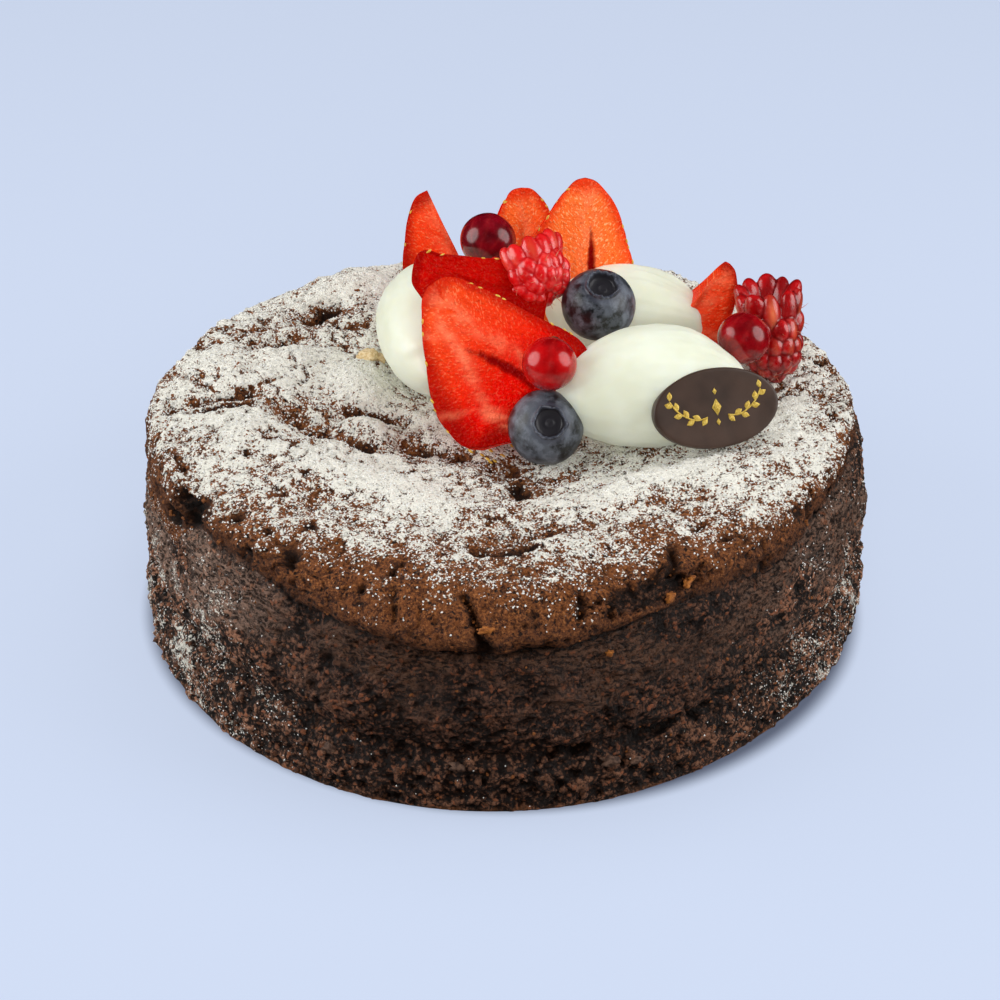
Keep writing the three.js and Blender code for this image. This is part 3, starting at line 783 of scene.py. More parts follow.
def wallDetail(points, angles, rings):  # how far each point of the wall goes out, and what marks it
    z = points[:, 2]
    crease = creaseAt(angles)
    lip = lipAt(angles) + driftAt(angles)
    hanging = hangingAt(angles)
    foot = 1 - smooth(-1.2, 1.6, z - crease)
    band = smooth(3, 7, z - crease)
    away = degreesApart(angles, cakeDetail["frontSide"] * deg)
    onLeft = np.cos(angles) < 0
    # flank: how far round to either side; the finish paints the wall lighter there as sheen from the side
    # lamps, and more sugar lies there
    flank = np.where(onLeft, smooth(20, 58, away), 0.9 * smooth(24, 64, away))
    patch = noise(points * np.array([0.6, 0.6, 1]), 10, 21) + 0.3 * noise(points, 3, 25)
    smeared = band * smooth(-0.3, 0.2, patch + 0.15 * flank)
    smeared *= smooth(-17, -9, z - lip + 5 * flank + 4 * noise(points, 8, 22))
    flank *= np.where(onLeft, 1, 1 - 0.55 * smeared)
    # the band between the fold and the crust was smeared along the tin, so its relief runs sideways
    arc = cakeSizes["radius"] * angles
    smear = ringOf(angles, 26, 2.4 * z + 0.25 * arc * np.cos(angles * 2))
    rough = mix(0.22, 0.42, foot) + 0.1 * flank * (1 - foot)
    push = rough * layered(points, 2.3, 3, 3) * (1 - 0.4 * smeared)
    push += 0.42 * layered(points, 8, 2, 6)
    push += 0.16 * band * layered(smear, 2.2, 2, 8)
    bent = points * np.array([0.62, 0.62, 1]) + 0.7 * noise(points, 3, 4)[:, None]
    scale = 1 - 2.4 * np.abs(noise(bent, 1.7, 5))
    push += mix(0.3, 0.16, foot) * scale
    lump = smooth(0.2, 0.6, noise(bent, 2.1, 10))
    push += (0.34 + 0.3 * foot) * lump
    # small pits, and fewer large holes
    away, own = dots(points, 2.4, 20)
    porous = mix(0.26, 0.62, foot) + 0.16 * noise(points, 9, 9)
    pit = np.where(own < porous, bell(away, 0.45 + 0.5 * own / 0.6), 0) * (1 - 0.3 * smeared)
    push -= mix(0.6, 1.15, foot) * pit
    away, own = dots(points, 5.2, 30)
    hole = np.where(own < mix(0.08, 0.36, foot), bell(away + 0.5 * lump, 1.3), 0)
    push -= 1.5 * hole
    # the low fold: a ragged gap with a ledge under it
    broken = smooth(-0.15, 0.5, noise(np.stack([arc / 9, z / 40, 0 * z], 1), 1, 12))
    drift = 1.0 * noise(points, 7, 14) + 0.6 * noise(points, 2.5, 13)
    line = bell(z - crease - drift, 0.7 + 0.25 * noise(points, 4, 11))
    gap = 0.7 * broken
    for start, end, deep in cakeDetail["gaps"]:
        middle, half = (start + end) / 2 * deg, (end - start) / 2
        gap = np.maximum(gap, deep * (1 - smooth(0.6 * half, half, degreesApart(angles, middle))))
    push -= gap * line
    ledge = bell(z - crease + 2.4, 1.3) * smooth(0, 0.6, noise(points, 11, 15))
    push -= 0.7 * ledge * line.max()
    push = push * smooth(0.15, 1.8, z) - cakeDetail["margin"] * smooth(0.3, 2.5, z)
    push = np.minimum(push, 0.5)
    seam = cakeDetail["seamRing"]
    push -= mix(0.9, 0.35, hanging) * smooth(seam - 0.35, seam + 0.4, rings)
    cleft = smooth(-0.35, -0.75, scale) * (1 - lump)
    # painted shade: the pits, holes, the fold's gap, its ledge and the clefts are marked darker
    dark = 0.8 * pit + hole + np.minimum(gap, 1) * line + 0.4 * ledge + 0.5 * cleft * (1 - smeared)
    # painted shade: the wall just under the crust's overhang is marked darker
    under = smooth(-2.6, -1.2, z - lip + 0.6 * noise(points, 3, 23)) * (0.25 + 0.75 * overhang(angles))
    dark = np.clip(dark + 0.9 * under, 0, 1)
    drop = cakeDetail["crustDrop"][2] * hanging
    ragged = 0.9 * noise(points, 4, 19) + 0.5 * noise(points, 1.5, 16)
    crust = smooth(-0.8, 0.8, z - lip + drop + ragged) * smooth(0, 1, drop)
    patch = noise(points, 9, 17) + 0.35 * noise(points, 3, 18) + 0.2 * noise(points, 1.2, 24)
    patch = smooth(0.05, 0.5, patch)
    sugar = 0.02 + 0.13 * flank + 0.35 * patch * flank + (0.05 + 0.1 * flank) * foot
    sugar = sugar * (1 - 0.5 * dark) + 0.12 * lump * flank
    return push, {
        "crust": crust,
        "smeared": smeared * (1 - crust),
        "flank": flank,
        "bump": smooth(-0.4, 0.6, push),
        "sugar": np.maximum(sugar, 0.34 * crust) * smooth(0.4, 2, z),
        # pit: painted shade in the recesses and under the overhang
        "pit": dark * (1 - 0.7 * crust),
        "foot": foot,
    }


def crustDetail(points, normals, angles, rings):
    x, y, _ = points.T
    facing = normals[:, 2]
    onTop = smooth(0.4, 0.9, facing)
    lip = 1 - smooth(17.6, 19.2, rings)
    front = 1 - smooth(22, 75, degreesApart(angles, cakeDetail["frontSide"] * deg))
    push = 0.42 * layered(points, 6, 2, 51)
    ridge = 1 - 2 * np.abs(noise(points, 7.5, 54))
    push += 0.45 * onTop * ridge * smooth(-0.4, 0.4, noise(points, 19, 55))
    push += (0.16 + 0.16 * onTop) * layered(points, 2, 2, 56)
    knob = 1 - 2.2 * np.abs(noise(points, 1.6, 58))
    push += 0.13 * knob
    # the solid's own hollows get a ragged, sharp bottom
    wobble = noiseVectors(points, 4, 60, 2)
    flat = points[:, :2] + 1.5 * wobble + 0.5 * np.roll(wobble, 1, axis=1)
    sharp = np.zeros(len(points))
    for start, end, deep, _ in cakeSizes["cracks"]:
        sharp = np.maximum(sharp, 0.5 * deep * bell(awayFromPath(flat, [start, end]), 1.0))
    sharp *= onTop * smooth(-0.55, 0.1, noise(points, 6, 62))
    ragged = points + 0.55 * noiseVectors(points, 1.8, 63)
    seam = cakeDetail["seamRing"]
    skin = points[rings > seam]

    def onSkin(place):
        return skin[np.argmin(np.linalg.norm(skin - np.array(place), axis=1))]

    for path, deep, wide in cakeDetail["splits"]:
        away = awayFromPath(ragged, [onSkin(place) for place in path])
        sharp = np.maximum(sharp, deep * bell(away, wide))
    for place, deep, wide in cakeDetail["holes"]:
        away = np.linalg.norm(ragged - onSkin(place), axis=1)
        sharp = np.maximum(sharp, deep * bell(away, wide))
    push -= sharp
    wrinkle = np.abs(noise(points * np.array([1, 1, 1.4]), 5.2, 66))
    crevice = (1 - smooth(0.02, 0.11, wrinkle)) * smooth(0.05, 0.4, noise(points, 14, 67))
    push -= 0.55 * crevice
    share, deep = openness(points)
    push -= deep + share * 0.5 * np.abs(layered(points, 1.5, 2, 69))
    # small pits, and fewer large pocks
    away, own = dots(points, 2.0, 70)
    pit = np.where(own < 0.34 + 0.16 * lip, bell(away, 0.3 + 0.8 * own), 0)
    push -= 0.75 * pit * (0.4 + 0.6 * lip)
    away, own = dots(points, 4.4, 72)
    pock = np.where(own < 0.2, bell(away, 0.7 + 2 * own), 0) * (0.5 + 0.5 * lip)
    push -= 0.9 * pock
    push = np.minimum(push - cakeDetail["margin"] * 0.8, 0.55)
    push -= 1.0 * (1 - smooth(seam - 0.5, seam + 0.2, rings))
    # sugar lies thick on top, thins out over the shoulder, and sooner at the front
    aside, ahead = (np.interp(rings, cakeDetail["sugarRings"], cakeDetail[label])
                    for label in ("sugarAside", "sugarAhead"))
    sugar = mix(aside, ahead, front)
    sugar += (0.15 * moundHeight(x, y) - 0.06 - 0.1 * crackDepth(x, y)) * onTop
    sugar += 0.17 * noise(points, 9, 75) + 0.14 * noise(points, 3.2, 76) + 0.12 * noise(points, 1.6, 74)
    sugar += 0.12 * knob + 0.25 * push - 0.04
    sugar -= 0.5 * np.clip(sharp, 0, 1.5) + 0.4 * crevice + 0.35 * share + 0.3 * pit + 0.3 * pock
    sugar *= smooth(-0.1, 0.55, facing) * smooth(13.6, 15.5, rings)
    push += 0.36 * smooth(0.5, 0.95, sugar) * (0.4 + 0.6 * np.abs(noise(points, 1.1, 78)))
    # painted shade: the crust's underside below the lip is marked darker
    under = (1 - smooth(13.7, 15.1, rings)) * (0.4 + 0.6 * overhang(angles))
    # painted shade in the pits, pocks, splits, holes and crevices
    hollow = pit * (0.4 + 0.6 * lip) + pock + sharp + 0.5 * crevice
    return push, {
        "crust": smooth(12.9, 13.6, rings + 0.3 * noise(points, 1.5, 16)),
        "flank": 1 - front,
        "bump": smooth(-0.6, 0.5, push),
        "lip": 1 - smooth(15.2, 18.2, rings + 0.6 * noise(points, 5, 79)),
        "sugar": np.clip(sugar, 0, 1),
        # pit: painted shade in the hollows, under the lip and where the skin broke open
        "pit": np.clip(hollow + 0.9 * under + 0.45 * share, 0, 1),
        "foot": share,
    }


def skinPiece(name, points, faces, normals, relief, material):
    # the skin's points come first and move along their normals, and those inside stay
    push, marks = relief
    skin = len(push)
    points[:skin] += normals * push[:, None]
    points[:, 2] = np.maximum(points[:, 2], 0)
    marks["strew"] = marks["sugar"]
    spare = np.zeros(len(points) - skin)
    marks = {label: np.concatenate([values, spare]) for label, values in marks.items()}
    return objectOf(name, meshOf(name, points, faces, material, marks))


def makeWall(material):
    sides = cakeDetail["wallSides"]
    rings = np.concatenate([[1.0, 1.9], ringsByLength(*cakeDetail["wallRings"], cakeDetail["wallStep"])])
    around = turnsOf(sides)
    angles = np.tile(around, len(rings))
    places = np.repeat(rings, sides)
    skin = cakeSkin(angles, places)
    wide, high = cakeDetail["wallCore"]
    points = np.concatenate([skin, ringOf(around, wide, high), [[0, 0, 0]], [[0, 0, high]]])
    rows = len(rings) + 1
    faces = ringFaces(rows, sides)
    faces += fanFaces(rows * sides, 0, sides)
    faces += fanFaces(rows * sides + 1, (rows - 1) * sides, sides, -1)
    normals = normalsOf(points, faces)[:len(skin)]
    return skinPiece("cakeWall", points, faces, normals, wallDetail(skin, angles, places), material)


def discFaces(rings):  # quads of a round grid that has eight more points in each ring outwards
    faces = []
    for ring in range(1, rings + 1):
        outer = 1 + 4 * ring * (ring - 1)
        inner = 1 + 4 * (ring - 1) * (ring - 2) if ring > 1 else 0
        around, within = 8 * ring, max(8 * (ring - 1), 1)
        for side in range(4):
            corner = 2 * ring * side
            first = 2 * (ring - 1) * side
            heel = inner + first % within
            faces.append([heel, outer + (corner - 1) % around, outer + corner, outer + corner + 1])
            for step in range(1, 2 * ring - 1):
                faces.append([
                    inner + (first + step - 1) % within,
                    outer + corner + step,
                    outer + (corner + step + 1) % around,
                    inner + (first + step) % within,
                ])
    return faces


def makeCrust(material):
    rings = cakeDetail["crustRings"]
    sides = 8 * rings
    outward = ringsByLength(*cakeDetail["discRings"], 0.1)[::-1]
    disc = np.interp(np.arange(rings + 1) / rings, np.linspace(0, 1, len(outward)), outward)
    band = ringsByLength(*cakeDetail["bandRings"], cakeDetail["crustStep"])[::-1][1:]
    counts = [1, *(8 * ring for ring in range(1, rings + 1)), *(sides for _ in band)]
    angles = np.concatenate([turnsOf(count) for count in counts])
    places = np.repeat(np.concatenate([disc, band]), counts)
    skin = cakeSkin(angles, places)
    wide, high = cakeDetail["crustCore"]
    points = np.concatenate([skin, ringOf(turnsOf(sides), wide, high), [[0, 0, high]]])
    lastRing = 1 + 4 * rings * (rings - 1)
    faces = discFaces(rings) + ringFaces(len(band) + 2, sides, lastRing, -1)
    faces += fanFaces(len(points) - 1, len(skin), sides)
    normals = normalsOf(points, faces)[:len(skin)]
    relief = crustDetail(skin, normals, angles, places)
    return skinPiece("cakeCrust", points, faces, normals, relief, material)


crumbFinish = {
    "wallDeep": ink(28, 15, 9),
    "wallMid": ink(110, 70, 50),
    "wallLumpAndHighlight": ink(158, 106, 76),
    # painted sheen on the flanks
    "wallFlank": ink(216, 154, 118),
    "smearDeep": ink(26, 14, 9),
    "smearLight": ink(112, 77, 57),
    # painted sheen: lighter copies of the smear for the flanks
    "flankDeep": ink(42, 28, 21),
    "flankLight": ink(182, 149, 130),
    "fleck": ink(158, 86, 48),
    "footLight": ink(166, 114, 84),
    "crustDeep": ink(66, 32, 14),
    "crustMid": ink(144, 82, 38),
    "crustLight": ink(196, 126, 66),
    "lipMid": ink(92, 52, 31),
    # near black, painted as shade in the hollows and pores
    "poreAndPaintedShade": ink(14, 7, 4),
    "baseEdge": ink(158, 96, 52),
    "sugar": ink(246, 243, 231),
    "sugarThin": ink(227, 217, 198),
}


def makeCrumbFinish():
    look = crumbFinish
    finish = Finish("cakeCrumb", {"Specular IOR Level": 0.5})
    marks = ("crust", "sugar", "pit", "foot", "smeared", "flank", "bump", "lip")
    crust, sugar, pit, foot, smeared, flank, bump, lip = (finish.mark(label) for label in marks)
    wide = finish.noise(7, 2, 1)
    mid = finish.noise(2.0, 3, 2, rough=0.6)
    fine = finish.noise(0.6, 4, 3, rough=0.78)
    bent = finish.bent(1.4, 1.5, 15)
    # the wall: moist dark crumbs of their own tones; the gaps between them and low places are painted
    # darker as shade, and raised crumbs lighter as painted highlight
    away, own = finish.cells(0.85, bent)
    crumb = own * 0.42 + (0.8 - away) * 0.5 + (fine - 0.5) * 1.5 + bump * 0.3
    wall = finish.cover(
        look["wallDeep"],
        (crumb.eased(0.3, 0.72), look["wallMid"]),
        (foot * crumb.eased(0.45, 0.85) * 0.75, look["footLight"]),
        (crumb.eased(0.72, 1.0) * 0.8, look["wallLumpAndHighlight"]),
        # painted sheen: towards the flanks, where the side lamps graze, the wall is painted lighter
        (flank * crumb.eased(0.36, 0.82) * 0.85, look["wallFlank"]),
        (own.over(0.91) * crumb.eased(0.55, 0.7) * 0.7, look["fleck"]),
    )
    # where it was smeared along the tin it is greyer and runs sideways; towards the flanks it is painted
    # lighter and greyer still, as sheen from the side lamps
    flat = finish.vector("MULTIPLY", bent, (0.3, 0.3, 1.0))
    streak = finish.noise(0.55, 3, 7, place=flat, rough=0.72)
    light = finish.blend(flank, look["smearLight"], look["flankLight"])
    deep = finish.blend(flank, look["smearDeep"], look["flankDeep"])
    smear = finish.blend((streak * 0.6 + fine * 0.4).eased(0.44, 0.56), deep, light)
    wall = finish.blend(smeared * (0.95 - own.over(0.8) * crumb.eased(0.5, 0.6) * 0.6), wall, smear)
    # the crust: a thin warm skin, darker down to the lip
    lipTone = finish.blend(fine.eased(0.38, 0.58), look["wallDeep"], look["lipMid"])
    skin = finish.cover(
        look["crustDeep"],
        ((mid * 0.3 + fine * 0.7).eased(0.41, 0.55), look["crustMid"]),
        (fine.eased(0.54, 0.62) * 0.75, look["crustLight"]),
        (lip * 0.6, lipTone),
        (foot * 0.95, wall),
    )
    low = finish.node("ShaderNodeSeparateXYZ", {}, {"Vector": finish.place}, out="Z")
    edge = (1 - low.eased(0.7 * mm, 2.2 * mm)) * wide.eased(0.42, 0.58) * fine.eased(0.3, 0.55)
    far, poreOwn = finish.cells(1.3, bent)
    poreAndPaintedShade = 1 - (far - poreOwn * 0.27).eased(0.0, 0.1)
    # hollow: the pit mark, painted shade in recesses and under the overhang, with the finish's pores and
    # dark specks
    hollow = (pit + poreAndPaintedShade * (crust * 0.5 + 0.45) + (1 - fine.eased(0.33, 0.42)) * 0.8).held()
    # the sugar: clumps and specks that close up where it lies thick
    clump = finish.noise(1.4, 3, 4, rough=0.7)
    speck = finish.noise(0.44, 1, 14)
    dust = ((clump * 0.5 + speck * 0.5 - (0.69 - sugar * 0.355)) * 14).held() * sugar.eased(0.01, 0.04)
    dust = dust * (1 - hollow * (1.1 - sugar) * 0.8)
    powder = finish.blend(sugar.eased(0.1, 0.6), look["sugarThin"], look["sugar"])
    colour = finish.cover(
        wall,
        (crust, skin),
        (edge * 0.85, look["baseEdge"]),
        # painted shade in the hollows
        (hollow * 0.92, look["poreAndPaintedShade"]),
        (dust, powder),
    )
    crumbHeight = (0.8 - away) * (1 - smeared) * (1 - crust)
    height = (mid * 0.4 + fine * 0.7) * (1 - dust * 0.6) + streak * smeared * 0.5 + crumbHeight * 0.45
    height = height + dust * (speck * 0.25 + clump * 0.3 + 0.1) - hollow * 0.35
    moist = (1 - crust) * (1 - dust) * (smeared * 0.26 + 0.2)
    return finish.wear(colour, 0.8 - moist + fine * 0.1, height, deep=1.9)


def mottledFinish(name, light, dark, reach, roughness, deep=0.1):
    finish = Finish(name, {})
    mixed = finish.noise(reach, 3, 5)
    colour = finish.blend(mixed.eased(0.3, 0.7), ink(*dark), ink(*light))
    return finish.wear(colour, mixed * 0.15 + roughness, finish.noise(reach * 0.4, 2, 6), deep)


grainSizes = {
    "seed": 7,
    # how many shapes to pick from, radius, fineness, roughness, seed of the first
    "crumb": (4, 0.62, 2, 0.5, 90),
    "speck": (3, 0.3, 1, 0.4, 95),
    "sugar": (3, 0.2, 50),  # plain octahedra, so without the fineness and the roughness
    # grains to a square millimetre where they lie thickest, least and largest scale, how deep they sink
    "sugarGrainsTop": (1.2, 0.45, 1.5, 0.02),
    "sugarGrainsWall": (0.9, 0.35, 1.15, 0.05),
    "crumbsDark": (0.05, 0.4, 1.5, 0.25),
    "crumbsOrange": (0.02, 0.6, 1.5, 0.08),
    "crumbsOnCrust": (0.05, 0.6, 1.9, 0.12),
}


def strew(name, over, mark, box, material, seed):
    mesh = over.data.copy()
    mesh.attributes["strew"].data.foreach_set("value", mark.astype(np.float32))
    density, smallest, largest, sink = grainSizes[name]
    values = {"Grains": box, "Density": density / mm ** 2, "Seed": seed, "Smallest": smallest}
    values.update({"Largest": largest, "Sink": sink * mm, "Material": material})
    settle(grown(name, mesh, strewTree, values), "cake_crumb")


def markOf(piece, label):
    values = np.zeros(len(piece.data.vertices), np.float32)
    piece.data.attributes[label].data.foreach_get("value", values)
    return values.astype(float)


def makeGrains(crust, wall):
    seed = grainSizes["seed"]
    sugarFinish = mottledFinish("sugarGrain", (244, 243, 238), (226, 226, 222), 0.4, 0.55)
    darkFinish = mottledFinish("crumbDark", (116, 76, 54), (46, 27, 19), 0.5, 0.7, 0.3)
    orangeFinish = mottledFinish("crumbOrange", (160, 96, 46), (98, 54, 27), 0.4, 0.7, 0.3)
    sugarBox = grainBox("sugar", sugarShape)
    crumbBox, speckBox = (grainBox(kind, grainShape) for kind in ("crumb", "speck"))
    onTop, onWall, foot = markOf(crust, "sugar"), markOf(wall, "sugar"), markOf(wall, "foot")
    low = readMesh(wall.data, 1 / mm)[0][:, 2]
    side = smooth(1.2, 2.5, low) * (1 - markOf(wall, "crust")) * (1 - 0.7 * markOf(wall, "smeared"))
    sugared = smooth(0.02, 0.3, onTop) * (0.35 + 0.65 * smooth(0.1, 0.4, onTop))
    bare = markOf(crust, "crust") * (1 - smooth(0.25, 0.5, onTop))
    strew("sugarGrainsTop", crust, sugared, sugarBox, sugarFinish, seed)
    strew("sugarGrainsWall", wall, smooth(0.02, 0.4, onWall) ** 1.3, sugarBox, sugarFinish, seed + 1)
    strew("crumbsDark", wall, side * (0.15 + 0.85 * foot), crumbBox, darkFinish, seed + 2)
    strew("crumbsOrange", wall, side * (0.6 + 0.4 * foot), speckBox, orangeFinish, seed + 3)
    strew("crumbsOnCrust", crust, bare, speckBox, orangeFinish, seed + 4)
    clearAway(sugarBox, crumbBox, speckBox)


# a few larger loose crumbs that show in their own places: where, size, turn
looseCrumbs = {
    "orange": [((-3.2, -76, 42.4), (1.7, 0.8, 1.0), 10), ((31.8, -65.1, 43.5), (1.3, 0.8, 1.2), 30),
               ((35.4, -61.8, 43.7), (1.6, 0.8, 0.9), 40), ((20.6, -72.9, 34.6), (0.8, 0.6, 0.8), 0),
               ((37, -60.6, 44.6), (0.8, 0.5, 0.6), 0), ((-3, 75.4, 41), (1.4, 0.8, 1), 0),
               ((66, 38, 43.2), (1.2, 0.8, 1), 60)],
    "dark": [((-8.4, -76.4, 10.6), (1.5, 0.9, 1.1), 0), ((21, -72.8, 10.2), (1.8, 1.1, 1.3), 0),
             ((26, -71.2, 9.6), (1.3, 0.9, 1), 0), ((-33, -69.3, 9.4), (1.6, 1, 1.4), 0),
             ((44, 61.6, 10), (1.5, 1, 1.2), 0), ((-58, 49.5, 9), (1.4, 1, 1.3), 0)],
    "biscuit": [((-29.0, 21.8, 46.2), (2.4, 1.8, 1.4), 20), ((-26.6, 22.8, 46.2), (1.5, 1.1, 1.1), 70),
                ((-30.9, 20.4, 45.9), (1.2, 0.9, 0.8), 0)],
}
looseTones = {  # light, dark, how large the mottling is, roughness
    "orange": ((182, 112, 46), (116, 62, 26), 0.7, 0.7),
    "dark": ((112, 84, 68), (56, 38, 30), 0.8, 0.75),
    "biscuit": ((236, 214, 172), (206, 172, 118), 0.8, 0.7),
}


def makeLooseCrumbs(*under):
    ground = np.concatenate([readMesh(piece.data, 1 / mm)[0] for piece in under])
    for kind, crumbs in looseCrumbs.items():
        finish = mottledFinish("loose" + kind.capitalize(), *looseTones[kind], 0.3)
        shape = objectOf(kind + "Shape", grainShape(kind + "Shape", 1 / mm, 3, 0.55, 33 + len(kind)))
        centres, sizes, turned = (np.array(part, float) for part in zip(*crumbs))
        away = np.linalg.norm(centres[:, None] - ground[None], axis=2)
        centres = ground[np.argmin(away, axis=1)]
        outward = np.arctan2(centres[:, 1], centres[:, 0]) + 90 * deg + turned * deg
        aims = np.tile([0.0, 0.0, 1.0], (len(crumbs), 1))
        name = "crumbs" + kind.capitalize() + "Large"
        piece = setShapes(name, shape, centres, aims, ringOf(outward, 1, 0), sizes * mm, finish)
        settle(piece, "cake_crumb")
        clearAway(shape)


def makeCake():
    material = makeCrumbFinish()
    wall = makeWall(material)
    crust = makeCrust(material)
    settle(wall, "cake_crumb", "cake")
    settle(crust, "cake_crumb", "cake")
    makeGrains(crust, wall)
    makeLooseCrumbs(crust, wall)
    print("cake done")


# the cream
creamSizes = {
    "cream_front_right": {"at": (30.7, -5.4, 55.2), "half": (21.4, 12.6, 12.9), "turn": 12,
                          "sharp": (0.52, 0.9), "droop": 1.6, "peak": (0.99, 0.16)},
    "cream_left": {"at": (-13.6, 21.2, 54.6), "half": (22, 14, 13), "turn": 84,
                   "sharp": (0.66, 0.56), "droop": 0.8, "peak": (-0.98, 0.3)},
    "cream_back_right": {"at": (26.6, 30.6, 52.6), "half": (18.2, 11.4, 10.8), "turn": -8,
                         "sharp": (0.56, 0.7), "droop": 0.8, "peak": (0.98, 0.4)},
}
creamShape = {"rings": 120, "sides": 150, "ridge": 0.035}


def makeCreamFinish():
    # light that runs about inside fills the cream's own shade, which the glow stands for
    fixed = {"Subsurface Weight": 0.6, "Subsurface Scale": 0.008, "Specular IOR Level": 0.35,
             "Emission Strength": 0.24}
    finish = Finish("cream", {**fixed, "Subsurface Radius": (1.0, 0.8, 0.5)})
    wide = finish.noise(9, 2, 11)
    colour = finish.blend(wide.eased(0.3, 0.7), ink(205, 208, 188), ink(212, 216, 200))
    height = finish.noise(2.2, 3, 12) * 0.7 + finish.noise(0.6, 2, 13) * 0.3
    return finish.wear(colour, wide * 0.12 + 0.36, height, deep=0.12, strength=0.5, glow=colour)


def makeCream(name, sizes, material, seed):
    rings = creamShape["rings"]
    angle = turnsOf(creamShape["sides"])[None, :]
    along = -np.cos(math.pi * (np.arange(rings + 1)[:, None] / rings)) + 0 * angle
    width = np.maximum(0, 1 - along ** 2) ** mix(*sizes["sharp"], (along + 1) / 2)
    # the spoon leaves faint lines along it, which fade at the broad end
    lines = 0.006 * np.sin(17 * angle + 2 * along) + 0.004 * np.sin(31 * angle - 3 * along)
    ridge = 1 + creamShape["ridge"] * np.cos(3 * angle - 90 * deg) + lines * smooth(-0.6, 0.6, along)
    half = sizes["half"]
    y = half[1] * width * ridge * np.cos(angle)
    z = half[2] * width * ridge * np.sin(angle) - sizes["droop"] * along ** 2
    points = np.stack([half[0] * along, y, z], -1)
    flat = points.reshape(-1, 3)
    out = unit(flat / (np.array(half) ** 2))
    bumps = 0.22 * noise(flat, 7, seed) + 0.1 * noise(flat, 2.6, seed + 1) - 0.2
    side, strength = sizes["peak"]
    along, upper = along.reshape(-1), smooth(-0.2, 0.7, out[:, 2])
    fold = bell(along - 0.86 * side, 0.05) * upper
    curl = bell(along - 0.93 * side, 0.035) * upper
    bumps += strength * (1.2 * fold - 1.6 * curl)
    flat = flat + out * (bumps * smooth(0, 0.25, width.reshape(-1)))[:, None]
    turn = sizes["turn"] * deg
    turned = [[math.cos(turn), -math.sin(turn), 0], [math.sin(turn), math.cos(turn), 0], [0, 0, 1]]
    rows = (flat @ np.array(turned).T + np.array(sizes["at"])).reshape(points.shape)
    settleMesh(name + "_spoonful", "cream", loft(rows, -1), material, None, name)


# the strawberries
# pale veins on the cut face: a path by shares of the radius and the length, half width, strength
plainVeins = [
    ([(-0.05, 0.1), (-0.45, 0.3), (-0.8, 0.36)], 0.08, 0.8),
    ([(0.05, 0.1), (0.45, 0.3), (0.8, 0.36)], 0.08, 0.8),
    ([(0.1, 0.1), (0.08, 0.85)], 0.2, 0.6),
]
frontVeins = [
    ([(-0.02, 0.92), (0.0, 0.72), (0.1, 0.5), (0.2, 0.2)], 0.11, 0.6),
    ([(-0.2, 0.84), (-0.3, 0.62), (-0.38, 0.5), (-0.5, 0.4), (-0.55, 0.28), (-0.5, 0.1)], 0.07, 0.9),
    ([(-1.05, 0.47), (-0.82, 0.43), (-0.5, 0.36)], 0.05, 0.6),
    ([(-0.45, 0.84), (-0.24, 0.72)], 0.05, 0.5),
]
# what a berry has unless it says otherwise
plainStrawberry = {"depth": 0.8, "hollow": 0, "middle": 0.45, "side": 0, "lean": (1, 1), "blunt": 1.0,
                   "fade": 0.2, "dark": 0, "heel": 0, "veins": plainVeins}
strawberrySizes = {
    "strawberry_front": {"stalk": (12.4, -12.2, 52.4), "tip": (-16, 4.4, 72.3), "face": (-0.05, -0.8, 0.6),
                         "radius": 17.2, "depth": 0.72, "hollow": 7.6, "aside": -2.0, "middle": 0.4,
                         "lean": (1.14, 0.74), "tone": 0.12, "fade": 0.8, "dark": 0.32,
                         "heel": 0.13, "veins": frontVeins},
    "strawberry_back_right": {"stalk": (16.2, 36.5, 46.5), "tip": (16.6, 43, 79),
                              "face": (0.1, -0.96, 0.22), "radius": 13.3, "hollow": 7,
                              "aside": 2.0, "tone": 1.0},
    "strawberry_back_middle": {"stalk": (5.4, 41.5, 46.6), "tip": (2.8, 46, 75), "face": (0.25, -0.92, 0.2),
                               "radius": 9.8, "blunt": 0.8, "tone": 0.8},
    "strawberry_back_left": {"stalk": (-5.6, 40.5, 47), "tip": (-18.2, 43, 75), "face": (0.12, -0.97, 0.2),
                             "radius": 11.4, "side": -1, "lean": (1.08, 1), "blunt": 0.8, "tone": 0.2},
    "strawberry_lying": {"stalk": (8.5, 9.4, 68.2), "tip": (-19.4, 10, 73.2), "face": (-0.1, -0.78, 0.62),
                         "radius": 10.2, "depth": 0.5, "lean": (1.2, 0.6), "blunt": 0.6, "tone": 0.0,
                         "fade": 0, "dark": 0.75, "veins": []},
    "strawberry_right": {"stalk": (34.4, 25, 48.5), "tip": (47.4, 25.4, 67.6), "face": (0.12, -0.93, 0.3),
                         "radius": 10.6, "side": 1, "blunt": 1.1, "tone": 0.2},
}
strawberryMesh = {"rings": 110, "skin": 90, "face": 84, "beside": 30}
strawberryOutline = [(0, 0.03), (0.5, 0), (0.86, 0.07), (1, 0.22), (0.92, 0.44), (0.66, 0.7), (0.36, 0.9),
                     (0.14, 0.985), (0, 1)]
seedSizes = {"apartAlong": 3.0, "apartRound": 3.2, "size": (1.3, 0.85, 0.55), "dimple": 0.42,
             "dimpleWidth": 0.85, "rings": 6, "sides": 8}


def strawberryWidth(angle, share):
    return 1 + 0.05 * np.sin(3 * angle + 9 * share) + 0.03 * np.sin(5 * angle - 4 * share)


